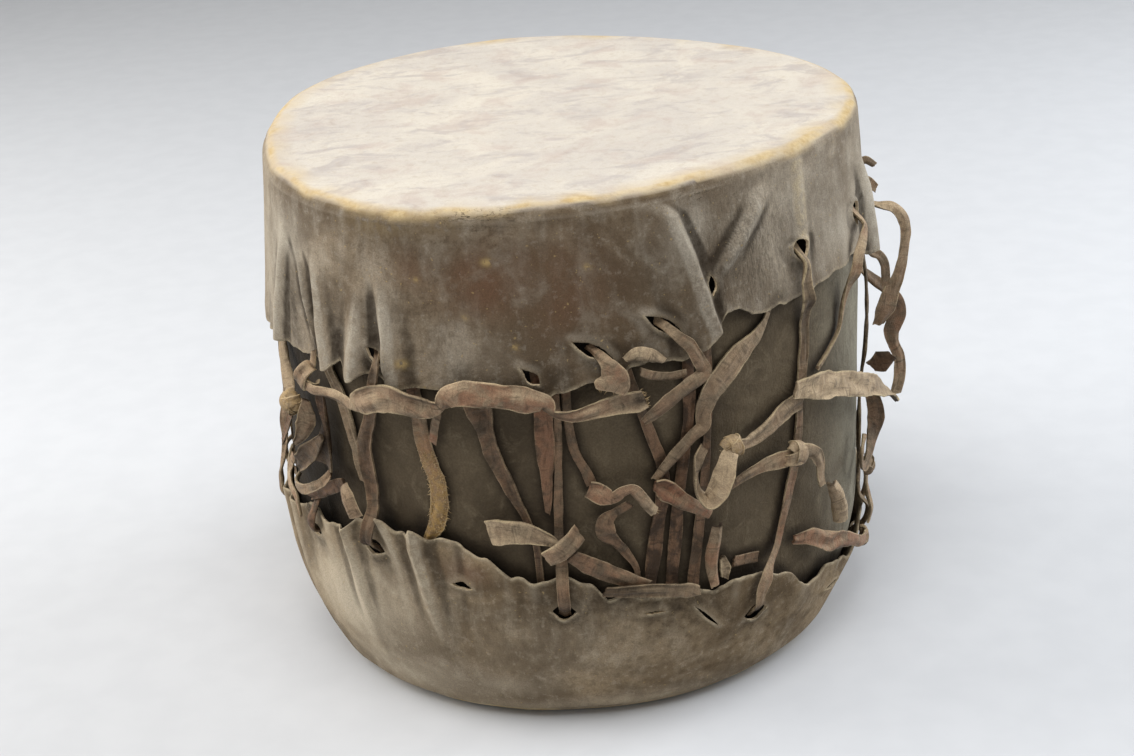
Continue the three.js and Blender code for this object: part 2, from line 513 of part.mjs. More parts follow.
    [69, 190, 12, 17], [75, 176, 15, 14, -20], [79, 165, 19, 10, -40], [82, 152, 25, 4, -50],
  ] },
  right_strand_3: { width: 8, route: [
    [85.5, 298, ON_SHELL], [85.5, 272, -2], [85.5, 246, 1], [85.5, 222, 2], [85.5, 195, 1],
    [85.3, 172, -1.5], [85, 148, ON_SHELL], [84.6, 110, ON_SHELL], [84, 84, ON_SHELL], [83.5, 70, -1],
    [83.2, 60, 7], [83, 48, 7.4], [83, 40.5, 0.6], [83, 37, -2.4],
  ] },
  outer_loop: { width: 8.5, route: [
    [88, 310, -2.8, 8], [88, 305, 2, 8], [88, 300, 12, 8, 20], [88, 298, 22, 8.5, 50],
    [88, 290, 29.5, 8.5, 70], [88, 280, 32, 8.5, 75], [88, 261, 30, 8.5, 75], [88, 245, 27, 9, 75],
    [88, 230, 21, 13, 70], [88, 217, 17, 16, 65], [88, 205, 12, 9, 65],
  ] },
  outer_twist: { width: 9, route: [
    [93, 298, ON_SHELL, 8], [93, 272, ON_SHELL, 8], [92.6, 250, -1, 8], [91.8, 238, 8, 9, 30],
    [91.2, 228, 20, 10, 60], [91, 218, 28, 11, 75], [91, 206, 29, 14, 75], [91, 194, 25, 14, 75],
    [91, 184, 26, 9, 75], [91, 170, 31, 9, 75], [91, 156, 31.5, 9, 75], [91, 140, 29, 8, 75],
  ] },
  outer_leaf: { width: 14, route: [[88, 170, 7, 8, 80], [88, 173, 15, 17, 80], [88, 178, 24, 7, 80]] },
  outer_tip: { width: 7, route: [
    [80.5, 296, ON_SHELL], [80.5, 283, -2.5], [81, 275, 3], [81.6, 271, 10, 7, 40],
    [82, 264, 14, 7, 70], [82, 256, 15, 7, 75], [82, 246, 15, 6, 75],
  ] },
  outer_nub_1: { width: 6, route: [[97, 322, 5], [97, 324, 13, 6, 80], [97, 319, 20, 5, 80]] },
  outer_nub_2: { width: 8, route: [[97, 309, 5], [97, 307, 13, 8, 80], [97, 300, 20, 6, 80]] },
  right_curl: { width: 9, route: [
    [79, 170, 4, 10, 50], [78.5, 157, 8, 13, 70], [78, 146, 9, 14, 70], [77, 135, 7.5, 11, 45],
    [74, 125, 6, 8, 15], [70, 121, 5, 8], [67.4, 129, 5, 8], [67.4, 140, 5.5, 8], [69.6, 148, 5.5, 7],
  ] },
  right_strand_4: { width: 8, route: [
    [89.5, 128, ON_SHELL], [89.8, 100, -2], [90, 82, 4], [90.4, 66, 8], [90.8, 48, 8], [91, 36, 7.4, 7],
    [91, 29, 0.6, 7], [91, 25, -2.6, 7],
  ] },
  right_strand_5: { width: 9, route: [
    [79, 112, 2], [79.4, 94, 2], [79.6, 78, 4], [79.6, 66, 8.6], [79.4, 56, 9, 8],
  ] },
  right_band: { width: 9, route: [
    [43.4, 109, -1, 8], [47.6, 105, 2, 12], [51.6, 95, 4, 15], [56.5, 87, 5.6, 13], [61, 78, 7, 10],
    [66, 66, 7.5], [71, 57, 8], [75.6, 51, 8.4, 7],
  ] },

  // The plain zigzag of the back and a lashing across it
  back_lacing: { width: BACK.width, route: backRoute() },
  back_lashing: { width: 11, route: backLashing() },
};

function backLashing() {
  const route = [];
  const [from, to, step] = [100, 264, 6];
  for (let angle = from; angle <= to; angle += step) {
    const sway = Math.sin(angle * 0.11);
    const turn = angle > 180 ? angle - 360 : angle;
    const lift = 1.4 + 0.6 * Math.cos(angle * 0.3);
    route.push([turn, BACK.middle + 9 * sway, lift, 10 + 2.5 * Math.sin(angle * 0.21)]);
  }
  return route;
}

// A flat strap's path. Its width lies along the wall, turned by the twist.
class StrapPath extends THREE.CatmullRomCurve3 {
  constructor({ route, width }) {
    super(route.map(place), false, "centripetal");
    this.widths = route.map((point) => point[3] ?? width);
    this.twists = route.map((point) => point[4] ?? 0);
    this.shares = [0];
    for (let i = 1; i < route.length; i++) {
      const halves = this.points[i].distanceTo(this.points[i - 1]) > LONG_SPAN ? 2 : 1;
      for (let k = 1; k <= halves; k++) this.shares.push((i - 1 + k / halves) / (route.length - 1));
    }
  }

  getSpacedPoints() {
    return this.shares.map((share) => this.getPoint(share));
  }

  between(values, share) {
    const at = share * (values.length - 1);
    const low = Math.min(Math.floor(at), values.length - 2);
    return lerp(values[low], values[low + 1], at - low);
  }

  // Each frame's binormal spans the strap's width and its normal the strap's thickness.
  computeFrenetFrames() {
    const frames = { tangents: [], normals: [], binormals: [] };
    const across = new THREE.Vector3();
    const flat = 0.35; // under this the strap runs straight in or out, and keeps its last direction
    this.shares.forEach((share, i) => {
      const tangent = this.getTangent(share);
      const lying = new THREE.Vector3().crossVectors(outward(angleOf(this.getPoint(share))), tangent);
      if (i > 0 && lying.length() < flat) lying.copy(across).addScaledVector(tangent, -across.dot(tangent));
      lying.normalize();
      if (i > 0 && lying.dot(across) < 0) lying.negate();
      across.copy(lying);
      const twisted = lying.clone().applyAxisAngle(tangent, degToRad(this.between(this.twists, share)));
      frames.tangents.push(tangent);
      frames.normals.push(new THREE.Vector3().crossVectors(twisted, tangent));
      frames.binormals.push(twisted.multiplyScalar(this.between(this.widths, share)));
    });
    return frames;
  }
}

function strapGeometry(strap) {
  const section = new THREE.Shape();
  section.moveTo(-STRAP / 2, -0.5);
  section.lineTo(STRAP / 2, -0.5);
  section.lineTo(STRAP / 2, 0.5);
  section.lineTo(-STRAP / 2, 0.5);
  const extrudePath = new StrapPath(strap);
  return new THREE.ExtrudeGeometry(section, { steps: extrudePath.shares.length - 1, extrudePath });
}

// The finished drum

const MATERIALS = {
  wood: new THREE.MeshStandardMaterial({ color: 0x5d5446, roughness: 0.85, metalness: 0 }),
  upperHide: new THREE.MeshStandardMaterial({ color: 0x8b7d69, roughness: 0.8, metalness: 0 }),
  lowerHide: new THREE.MeshStandardMaterial({ color: 0x7d7059, roughness: 0.8, metalness: 0 }),
  strap: new THREE.MeshStandardMaterial({ color: 0x7b6753, roughness: 0.75, metalness: 0 }),
};

function named(name, geometry, material) {
  const mesh = new THREE.Mesh(geometry, material);
  mesh.name = name;
  return mesh;
}

const drum = new THREE.Group();
drum.add(named("shell", shellGeometry(), MATERIALS.wood));
const upperHide = hideGeometry({
  upper: true,
  edge: UPPER_EDGE,
  folds: [...UPPER_FOLDS, ...backFolds()],
  slits: [...UPPER_SLITS, ...backUpper.map(backSlit(upperSlitHeight))],
});
drum.add(named("upper_hide", upperHide, MATERIALS.upperHide));
const lowerHide = hideGeometry({
  upper: false,
  edge: LOWER_EDGE,
  folds: [...LOWER_FOLDS, ...backFolds()],
  slits: [...LOWER_SLITS, ...backLower.map(backSlit(lowerSlitHeight))],
});
drum.add(named("lower_hide", lowerHide, MATERIALS.lowerHide));
const lacing = new THREE.Group();
for (const [name, strap] of Object.entries(STRAPS)) {
  lacing.add(named(name, strapGeometry(strap), MATERIALS.strap));
}
drum.add(lacing);

export default drum;
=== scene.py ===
"""The looks of a two-headed rawhide drum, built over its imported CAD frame.

A place on the drum is angle, height, lift: degrees from the front (-Y) towards the drum's right, millimetres
above the underside, and millimetres out from the smooth wall. Meshes are made in millimetres and stored in
metres. The wall, edges, slits and strap routes repeat the values of the solids.
"""
import math

import bpy
import numpy as np
from mathutils import Matrix, Vector
from mathutils.kdtree import KDTree


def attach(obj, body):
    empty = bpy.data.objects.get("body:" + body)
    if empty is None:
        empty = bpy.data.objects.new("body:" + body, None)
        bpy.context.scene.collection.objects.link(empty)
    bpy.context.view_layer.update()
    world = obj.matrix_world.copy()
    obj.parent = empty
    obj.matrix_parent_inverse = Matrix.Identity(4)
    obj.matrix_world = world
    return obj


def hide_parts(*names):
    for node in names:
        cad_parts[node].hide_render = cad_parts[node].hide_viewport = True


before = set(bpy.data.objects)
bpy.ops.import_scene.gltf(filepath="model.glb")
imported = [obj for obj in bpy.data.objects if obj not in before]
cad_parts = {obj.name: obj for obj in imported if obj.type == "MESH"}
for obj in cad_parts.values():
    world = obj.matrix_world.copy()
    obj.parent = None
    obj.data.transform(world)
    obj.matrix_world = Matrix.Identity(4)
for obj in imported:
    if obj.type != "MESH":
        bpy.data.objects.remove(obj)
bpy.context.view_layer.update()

MM = 0.001

# The drum's outside, over the hides
HEIGHT = 393
HEAD_RADIUS = 215
BELLY_RADIUS = 222
BASE_RADIUS = 196
TAPER_HEIGHT = 95
SHOULDER_HEIGHT = 240
THREE_LOBES = -0.045
TWO_LOBES = 0.015
ARC = math.radians(1) * BELLY_RADIUS  # millimetres round the wall for one degree

# The shell, the hides and the straps
SHELL_INSET = 5
SHELL_WALL = 16
SHELL_END_GAP = 2.8
SHELL_CHAMFER = 8
HIDE = 2.2
RIM_ROUND = 9
FLARE = 3
STRAP = 2.4
ON_SHELL = -3.3

# Mesh fineness
FINE_SPAN = 102  # the hides are fine as far round as this on both sides of the front
FINE_STEP = 0.42
BACK_COLUMNS = 100
HEAD_RINGS = 14
RIM_ROWS = 6
SKIRT_ROWS = 70
SHELL_COLUMNS = 300
SHELL_ROWS = 110
STRAP_STEP = 1.6
STRAP_SHARES = (-0.5, -0.475, -0.42, -0.33, -0.17, 0, 0.17, 0.33, 0.42, 0.475, 0.5)  # places across a strap
STRAP_THICK = (0.5, 0.65, 0.8, 0.9, 0.95, 0.95, 0.95, 0.9, 0.8, 0.65, 0.5)  # and its thickness there

# Unevenness of the hides and the wood: millimetres, cells round the drum, height of a cell if any, seed
RAGGED_EDGE = ((0.8, 90, 8), (0.8, 200, 7), (0.5, 460, 6))
RIM_WOBBLE = ((0.7, 45, 3), (1.1, 16, 4))
RIM_SAG = ((1.3, 11, 5),)
RIM_STAIN = ((3, 30, 21), (2, 80, 22))
SKIRT_DENTS = ((0.9, 60, 35, 9), (0.35, 170, 13, 10))
SHELL_WEAR = ((0.5, 40, 60, 31), (0.3, 150, 25, 32))

# How unevenly the straps dried: how much, and over how many millimetres of their length
UNEVEN = dict(width=(0.09, 16), bend=(0.42, 17), edge=(0.06, 6), crease=(0.1, 18), lip=(0.8, 22),
              drift=(1.5, 30))
LEAST_BEND = 0.06
MOST_STAND = 3.5
FIBRE_RINGS = ((0, 0.3), (0.5, 0.2))  # share of the length, radius
FIBRE_TURNS = (0, 2.1, 4.2)
CUT_SLANT = 4  # millimetres that a strap's cut end is off square
CUT_ROUGH = 0.4
CREASE_TURN = 9  # radians of a crease's wave across a strap
LIP_START = 0.6  # shares of the half width where the edge turns up and where it is worn
WORN_START = 0.86
FIRST_SEED = 1000
SEED_STEP = 100

# Turns of strap on a knot: radians they show to each side, degrees apart, and shares of the knot's size
KNOT = dict(turn=2.1, steps=26, apart=70, stray=10, depth=0.34, deeper=0.08, reach=0.85, shift=0.1,
            slope=0.9, width=0.62, narrowing=0.16, bend=0.6)

# Where the masks of the hides begin and end, in millimetres
# Beside the straps, dirt and painted shadow fade out between these distances.
CONTACT_SHADE = (5, 13)  # from a strap's middle line
RIM_BAND = (-7, -1, 4, 12)  # in from the rim
EDGE_WORN = (0.3, 2.6)
LIP_WORN = (0.4, 3)
# Ridges between these heights above their neighbours are made paler, as wear and as painted highlight.
WORN_LIT_RIDGE = (0.5, 2.4)  # above the skirt on both sides
# Hollows between these depths below their neighbours are darkened, as dirt and as painted shade.
SHADED_HOLLOW = (0.5, 2.2)
BESIDE = 2.4  # degrees
SCAR_HALF = 8

# Edges sharper than this many degrees stay sharp
HIDE_SHARP = 50
STRAP_SHARP = 45
SHELL_SHARP = 40

# The camera that took the photograph
PHOTO_WIDTH = 1134
FOCAL_PIXELS = 2000
SENSOR = 36
CAMERA_PLACE = (0, -1410, 801)
CAMERA_PITCH = 23.85
CAMERA_ROLL = -4.71

# Free edges of the hides as angle, height
UPPER_EDGE = [
    (-180, 272), (-158, 264), (-136, 278), (-114, 266), (-95, 272), (-77, 264), (-63, 274), (-52.5, 273),
    (-48, 278), (-44.8, 271), (-41.4, 279), (-38.4, 270), (-34.4, 277), (-30.4, 270), (-25, 271),
    (-14.5, 268), (-5, 263), (-1, 267), (4, 271), (9, 271), (11, 278), (14, 280), (17, 277), (20, 274),
    (24, 281), (27.5, 290), (29.4, 300), (32, 300), (36.6, 291), (44.5, 291), (50.5, 292), (60.5, 295),
    (63.5, 297), (70, 292), (75, 284), (90, 280), (112, 268), (134, 280), (157, 266), (180, 272),
]
LOWER_EDGE = [
    (-180, 112), (-158, 124), (-136, 112), (-114, 126), (-92, 128), (-78, 130), (-66, 136), (-58, 147),
    (-52, 143), (-46, 147), (-42.5, 157), (-39.6, 154), (-36.6, 166), (-33.2, 156), (-31.6, 156),
    (-29.2, 165), (-27, 154), (-24.5, 157), (-17, 146), (-12, 131), (-8, 126), (-3.7, 130), (1, 123),
    (4.3, 109), (7, 113), (10, 105), (19, 103), (24, 98), (29, 102), (33, 99), (39, 90), (46.5, 68),
    (50, 66), (53.5, 70), (60, 62), (67, 50), (76, 53), (86, 62), (100, 84), (120, 96), (140, 110),
    (160, 102), (180, 112),
]

# Slits as angle and height of one end, angle and height of the other, opening, skew
UPPER_SLITS = [
    (-34.4, 296, -31, 284, 9), (-7.6, 287, -4.6, 274, 8, 1.6), (1.2, 301, 8.2, 285, 9),
    (14.1, 311, 21, 292, 9), (27.2, 328, 27, 314, 6), (47.6, 331, 48.1, 314, 14, 0.6),
    (68, 332, 68.8, 313, 14, 0.6), (85.4, 306, 90.6, 306, 14),
]
LOWER_SLITS = [
    (-85.2, 107, -80.8, 107, 14), (-60.3, 126, -54.3, 131, 10), (-41.4, 142, -36.6, 138, 13),
    (-23.5, 123, -19.5, 121, 6), (-6, 104, -1.6, 102, 13), (9.7, 94.6, 14.3, 93, 2),
    (19.6, 91, 24.4, 69, 2.4), (29.6, 69, 35, 69, 13), (61, 43, 54.4, 45.4, 6), (80.8, 40, 85.2, 40, 14),
    (89.1, 28, 92.9, 28, 12),
]
SLIT_STEPS = 16
SLIT_DEPTH = 40
LIP_RISE = 2
LIP_REACH = 4

# The plain lacing and the lashing of the back
BACK = dict(start=108, end=264, step=24, apart=2.4, width=7.5, slit=(3.7, 17), over_edge=9.2, in_edge=24,
            middle=190, lift=-2.6)
LASHING = dict(start=100, end=265, step=6, width=11)


def fold(rise, left, right, *path, sharp=0.0):
    """A fold in a skirt: its rise from the first point of its path to the last, and its half widths."""
    return dict(rise=rise, left=left, right=right, path=path, sharp=sharp)


# Folds as rise, half width to the left and right in degrees, then angle, height along the ridge
UPPER_FOLDS = [
    fold((0, 2), 6, 5, (-79, 360), (-80, 264)),
    fold((0, 2.5), 5, 4.5, (-69, 355), (-71, 270)),
    fold((0, 4, 7, 8), 4, 2.8, (-58, 362), (-60, 335), (-61.6, 300), (-62, 274), sharp=0.3),
    fold((0, 3, 4.5, 4, 2), 1.5, 1.3, (-55.4, 362), (-52, 340), (-50.2, 315), (-48.6, 299), (-47.6, 284),
         sharp=0.5),
    fold((0, 3, 6, 8), 1.8, 3.8, (-47.9, 360), (-47.2, 332), (-46.2, 304), (-44.7, 271), sharp=0.4),
    fold((0, 4, 7.5, 9), 3.6, 4, (-36.2, 345), (-36.8, 313), (-37.4, 290), (-38, 270), sharp=0.2),
    fold((0, 4, 7.5, 8.5), 1.6, 5.2, (-31.4, 352), (-31, 324), (-30.5, 296), (-30.2, 270), sharp=0.5),
    fold((0, 2), 6, 6, (-12, 330), (-12, 266)),
    fold((0, 2), 5, 5, (12, 325), (12, 270)),
    fold((0, 4, 8, 10.5, 11), 9, 1.7, (17.4, 384), (20.9, 373), (23.6, 344), (25, 319), (26.8, 290),
         sharp=0.35),
    fold((0, 5, 7.5, 3), 3.2, 4.2, (39.5, 376), (37.6, 362), (33.1, 344), (28.8, 324), sharp=0.4),
    fold((1.2, 1.8), 2, 2, (49.7, 384), (49.4, 328)),
    fold((0, 3), 5, 5, (61, 340), (61, 294)),
    fold((0, 7, 9, 8.5), 3.8, 3.8, (74, 366), (75, 335), (76, 300), (76.5, 284)),
]
LOWER_FOLDS = [
    fold((0, 5), 5, 5, (-72, 40), (-76, 130)),
    fold((0, 6), 5, 5, (-64, 30), (-68, 136)),
    fold((0, 4), 5, 4, (-51, 50), (-52, 145)),
    fold((0, 5, 8), 3.2, 2.4, (-43.1, 52), (-44.4, 100), (-45.8, 146), sharp=0.6),
    fold((0, 4, 7.5), 3, 2.4, (-32.7, 106), (-34, 135), (-36.4, 166), sharp=0.5),
    fold((0, 6, 9.5, 9.5), 3, 2.6, (-26.6, 60), (-28.2, 110), (-29.6, 146), (-29.2, 165), sharp=0.6),
    fold((0, -1.6), 1.6, 1.6, (-22.2, 66), (-21.7, 112)),
    fold((0, 3), 6, 6, (-15, 60), (-16, 146)),
    fold((0, 2.2), 2.4, 3.4, (-9, 75), (-8.8, 118), sharp=0.4),
    fold((0, 2), 5, 5, (5, 55), (5, 110)),
    fold((0, 3), 5, 5, (27, 45), (28, 100)),
    fold((0, 3), 6, 6, (44, 30), (45, 70)),
]
BACK_FOLD = dict(start=96, step=12, count=15, half=6, rise=1.6)


def smoothstep(value, low=0.0, high=1.0):
    t = np.clip((value - low) / (high - low), 0, 1)
    return t * t * (3 - 2 * t)


def signed(angle):
    """The same angle between -180 and 180 degrees."""
    return (np.asarray(angle) + 180) % 360 - 180


def ripple(angle, height, around, tall, seed):
    """Smooth noise from -1 to 1 over the wall, in cells: so many around the drum, so many mm tall."""
    table = np.random.default_rng(seed).uniform(-1, 1, (around, 64))
    x, y = np.broadcast_arrays((np.asarray(angle) / 360 + 0.5) * around, np.asarray(height) / tall)
    i, j = np.floor(x).astype(int), np.floor(y).astype(int)
    u, v = smoothstep(x - i), smoothstep(y - j)
    low = table[i % around, j % 64] * (1 - u) + table[(i + 1) % around, j % 64] * u
    high = table[i % around, (j + 1) % 64] * (1 - u) + table[(i + 1) % around, (j + 1) % 64] * u
    return low * (1 - v) + high * v


def waver(angle, around, seed):
    """Smooth noise from -1 to 1 that changes round the drum alone."""
    return ripple(angle, 0, around, 10, seed)


def wavers(angle, rows):
    """Several noises round the drum added up."""
    return sum(much * waver(angle, around, seed) for much, around, seed in rows)


def ripples(angle, height, rows):
    """Several noises over the wall added up."""
    return sum(much * ripple(angle, height, around, tall, seed) for much, around, tall, seed in rows)


def wall_radius(angle, height):
    """The smooth wall that everything is measured from."""
    taper = 1 - (1 - np.clip(height / TAPER_HEIGHT, 0, 1)) ** 2
    shoulder = np.clip((height - SHOULDER_HEIGHT) / (HEIGHT - SHOULDER_HEIGHT), 0, 1) ** 2
    round_wall = BASE_RADIUS + (BELLY_RADIUS - BASE_RADIUS) * taper - (BELLY_RADIUS - HEAD_RADIUS) * shoulder
    turn = np.radians(angle)
    lobes = THREE_LOBES * np.sin(3 * turn) + TWO_LOBES * np.sin(2 * turn)
    return round_wall * (1 + lobes * np.clip(height, 0, HEIGHT) / HEIGHT)


def angle_of(points):
    """The angle round the drum of each point."""
    return np.degrees(np.arctan2(points[:, 0], -points[:, 1]))


def outward(angle):
    """The level direction out from the drum's axis."""
    turn = np.radians(angle)
    return np.stack([np.sin(turn), -np.cos(turn), np.zeros_like(turn)], -1)


def cylindrical(angle, height, radius):
    """Points in millimetres from angle, height and radius."""
    turn = np.radians(angle)
    return np.stack(np.broadcast_arrays(radius * np.sin(turn), -radius * np.cos(turn), height), -1)


def place(angle, height, lift):
    """A point in millimetres from its angle, height and lift."""
    return cylindrical(angle, height, wall_radius(angle, height) + lift)


# Meshes

def add_object(name, data):
    piece = bpy.data.objects.new(name, data)
    bpy.context.scene.collection.objects.link(piece)
    return piece


def add_mesh(name, points, faces, material, smooth=True):
    """A new object from points in millimetres."""
    mesh = bpy.data.meshes.new(name)
    mesh.from_pydata((np.asarray(points) * MM).tolist(), [], faces)
    mesh.polygons.foreach_set("use_smooth", [smooth] * len(mesh.polygons))
    mesh.materials.append(material)
    return add_object(name, mesh)


def ring_faces(rows, columns, flip=False):
    """Quads between rows of points that each close on themselves."""
    faces = []
    for i in range(rows - 1):
        for j in range(columns):
            k = (j + 1) % columns
            quad = (i * columns + j, (i + 1) * columns + j, (i + 1) * columns + k, i * columns + k)
            faces.append(quad[::-1] if flip else quad)
    return faces


def cap_faces(row, columns, centre, flip):
    """A fan that closes one row onto a middle point."""
    faces = []
    for j in range(columns):
        fan = (row * columns + j, row * columns + (j + 1) % columns, centre)
        faces.append(fan[::-1] if flip else fan)
    return faces


def apply_modifiers(piece):
    """Keeps the shape that the piece's modifiers give, and drops them."""
    shown = piece.evaluated_get(bpy.context.evaluated_depsgraph_get())
    mesh = bpy.data.meshes.new_from_object(shown)
    piece.modifiers.clear()
    piece.data = mesh


def read_points(piece):
    """A piece's points in millimetres."""
    flat = np.empty(len(piece.data.vertices) * 3)
    piece.data.vertices.foreach_get("co", flat)
    return flat.reshape(-1, 3) / MM


def facing_up(piece):
    """How far each point of a piece faces up, from -1 to 1."""
    flat = np.empty(len(piece.data.vertices) * 3)
    piece.data.vertex_normals.foreach_get("vector", flat)
    return flat[2::3]


def paint(piece, name, red, green, blue):
    """Stores three masks on a piece's points for its material to read."""
    layer = piece.data.attributes.new(name, "FLOAT_COLOR", "POINT")
    count = len(piece.data.vertices)
    masks = np.stack([np.broadcast_to(mask, count) for mask in (red, green, blue, 1.0)], -1)
    layer.data.foreach_set("color", masks.astype(np.float32).ravel())


# The hides

def edge_height(edge, angle):
    """The height of a free edge, smooth from point to point."""
    at, height = np.array(edge, float).T
    i = np.clip(np.searchsorted(at, angle), 1, len(at) - 1)
    share = smoothstep((angle - at[i - 1]) / (at[i] - at[i - 1]))
    return height[i - 1] + (height[i] - height[i - 1]) * share


def free_edge(hide, angle):
    """The ragged free edge of a skirt."""
    return edge_height(hide["edge"], angle) + wavers(angle, RAGGED_EDGE)


def ridge_profile(across, sharp):
    """A fold's section from its ridge at 0 to its feet at -1 and 1: round, or peaked where it is sharp."""
    across = np.clip(across, -1, 1)
    return (1 - sharp) * 0.5 * (1 + np.cos(math.pi * across)) + sharp * (1 - np.abs(across)) ** 1.3


def fold_lift(folds, angle, height, share):
    """How far a skirt stands off the wall: its flare and its folds."""
    lift = FLARE * share**2
    for one in folds:
        path = np.array(one["path"], float)
        order = np.argsort(path[:, 1])
        middle = np.interp(height, path[order, 1], path[order, 0])
        rise = np.interp(height, path[order, 1], np.array(one["rise"], float)[order])
        across = signed(angle - middle)
        across = np.where(across < 0, across / one["left"], across / one["right"])
        lift = lift + rise * ridge_profile(across, one["sharp"])
    for i in range(BACK_FOLD["count"]):
        rise = BACK_FOLD["rise"] * (1 + 0.5 * math.sin(i * 2.4))
        across = signed(angle - BACK_FOLD["start"] - BACK_FOLD["step"] * i) / BACK_FOLD["half"]
        lift = lift + rise * ridge_profile(across, 0) * smoothstep(share, 0.2, 1)
    return lift


def slit_axis(slit):
    """A slit's axis on the unrolled wall in millimetres."""
    return np.array([(slit[2] - slit[0]) * ARC, slit[3] - slit[1]])


def slit_half(slit, share):
    """Half the opening of a slit at a share of its length."""
    skew = slit[5] if len(slit) > 5 else 1
    return 0.5 * slit[4] * np.sin(math.pi * np.clip(share, 0, 1) ** skew)


def slit_places(slit, angle, height):
    """Where points lie by a slit: millimetres to the side of its axis, and out from its rim."""
    axis = slit_axis(slit)
    length = np.hypot(*axis)
    x = signed(angle - slit[0]) * ARC
    y = height - slit[1]
    share = (x * axis[0] + y * axis[1]) / length**2
    across = (y * axis[0] - x * axis[1]) / length
    past = np.maximum(0, np.maximum(-share, share - 1)) * length
    return across, np.hypot(np.maximum(np.abs(across) - slit_half(slit, share), 0), past)


def skirt_lift(hide, angle, height):
    """The skirt's lift at any place: flare, folds, drawn lips of the slits and small dents."""
    start = hide["rim"] - hide["side"] * RIM_ROUND
    share = np.clip((height - start) / (edge_height(hide["edge"], angle) - start), 0, 1)
    lift = fold_lift(hide["folds"], angle, height, share)
    for slit in hide["slits"]:
        _, out = slit_places(slit, angle, height)
        lift = lift + LIP_RISE * np.exp(-((out / LIP_REACH) ** 2))
    return lift + share * ripples(angle, height, SKIRT_DENTS)


def column_angles():
    """Angles of a hide's columns: fine across the front and sides, coarse behind."""
    front = np.arange(-FINE_SPAN, FINE_SPAN, FINE_STEP)
    back = np.linspace(FINE_SPAN, 360 - FINE_SPAN, BACK_COLUMNS, endpoint=False)
    return signed(np.concatenate([front, back]))


def hide_grid(hide):
    """Rows of points over a hide from the middle of its head to its free edge, and the way in from each."""
    side, rim = hide["side"], hide["rim"]
    angle = column_angles()
    wobble = wavers(angle, RIM_WOBBLE)
    sag = wavers(angle, RIM_SAG) * (side > 0)
    flat = wall_radius(angle, rim) - RIM_ROUND + wobble
    up = np.zeros((len(angle), 3)) + (0, 0, side)
    rows, ways = [], []
    for share in np.linspace(0.04, 1, HEAD_RINGS, endpoint=False):
        dents = 0.5 * ripple(angle, share * 200, 9, 40, 5) * (1 - share)
        rows.append(cylindrical(angle, rim + sag * share**3 + side * dents, share * flat))
        ways.append(up)
    for turn in np.linspace(0, math.pi / 2, RIM_ROWS, endpoint=False):
        down = RIM_ROUND * (1 - math.cos(turn))
        rows.append(cylindrical(angle, rim + sag - side * down, flat + RIM_ROUND * math.sin(turn)))
        ways.append(math.cos(turn) * up + math.sin(turn) * outward(angle))
    start = rim + sag - side * RIM_ROUND
    end = free_edge(hide, angle)
    for share in np.linspace(0, 1, SKIRT_ROWS):
        height = start + (end - start) * share
        rows.append(place(angle, height, skirt_lift(hide, angle, height) + wobble * (1 - share)))
        ways.append(outward(angle))
    return np.array(rows), np.array(ways)


def hide_piece(name, hide, skin, cut):
    """One hide with its thickness, its rounded free edge and its slits."""
    outer, way = hide_grid(hide)
    skirt = HEAD_RINGS + RIM_ROWS
    picked = [0, HEAD_RINGS // 2, *range(HEAD_RINGS, skirt, 2), *range(skirt, len(outer) - 1, 3)]
    inner = (outer - HIDE * way)[picked + [-1]]
    drop = outer[-1] - outer[-2]
    edge_row = 0.5 * (outer[-1] + inner[-1]) + 0.7 * drop / np.linalg.norm(drop, axis=-1, keepdims=True)
    grid = np.concatenate([outer, edge_row[None], inner[::-1]])
    rows, columns = grid.shape[:2]
    rim, side = hide["rim"], hide["side"]
    points = np.concatenate([grid.reshape(-1, 3), [[0, 0, rim], [0, 0, rim - side * HIDE]]])
    faces = ring_faces(rows, columns, flip=side < 0)
    faces += cap_faces(0, columns, rows * columns, flip=side < 0)
    faces += cap_faces(rows - 1, columns, rows * columns + 1, flip=side > 0)
    piece = add_mesh(name, points, faces, skin)
    piece.data.materials.append(cut)
    cut_slits(piece, hide["slits"], cut)
    return piece


def cut_slits(piece, slits, cut):
    """Cuts the slits straight in through a skirt."""
    points, faces = [], []
    share = np.linspace(0, 1, SLIT_STEPS + 1)
    for number, slit in enumerate(slits):
        axis = slit_axis(slit)
        across = np.array([-axis[1], axis[0]]) / np.hypot(*axis)
        half = slit_half(slit, share)
        rough = 0.3 * waver(share * 300, 24, 40 + number)
        out = np.concatenate([-(half + rough * (half > 0.5)), (half - rough * (half > 0.5))[-2:0:-1]])
        along = np.concatenate([share, share[-2:0:-1]])
        angle = slit[0] + (along * axis[0] + out * across[0]) / ARC
        height = slit[1] + along * axis[1] + out * across[1]
        middle = wall_radius(0.5 * (slit[0] + slit[2]), 0.5 * (slit[1] + slit[3]))
        first, sides = len(points), len(out)
        points += list(cylindrical(angle, height, middle - 0.5 * SLIT_DEPTH))
        points += list(cylindrical(angle, height, middle + 0.5 * SLIT_DEPTH))
        low = [first + i for i in range(sides)]
        high = [first + sides + i for i in range(sides)]
        faces += [low[::-1], high]
        for i in range(sides):
            k = (i + 1) % sides
            faces.append((low[i], low[k], high[k], high[i]))
    cutter = add_mesh(piece.name + "_cutter", points, faces, cut, smooth=False)
    change = piece.modifiers.new("slits", "BOOLEAN")
    change.operation = "DIFFERENCE"
    change.solver = "EXACT"
    change.material_mode = "TRANSFER"
    change.object = cutter
    apply_modifiers(piece)
    bpy.data.objects.remove(cutter)
    piece.data.set_sharp_from_angle(angle=math.radians(HIDE_SHARP))


def back_slits(edge, first, side):
    """The slits of the back's lacing, evenly round and level with the edge."""
    half, opening = BACK["slit"]
    slits = []
    for angle in np.arange(first, BACK["end"] + 1, BACK["step"]):
        at = float(signed(angle))
        height = float(edge_height(edge, at)) + side * BACK["in_edge"]
        slits.append((at - half, height, at + half, height, opening))
    return slits


# The straps

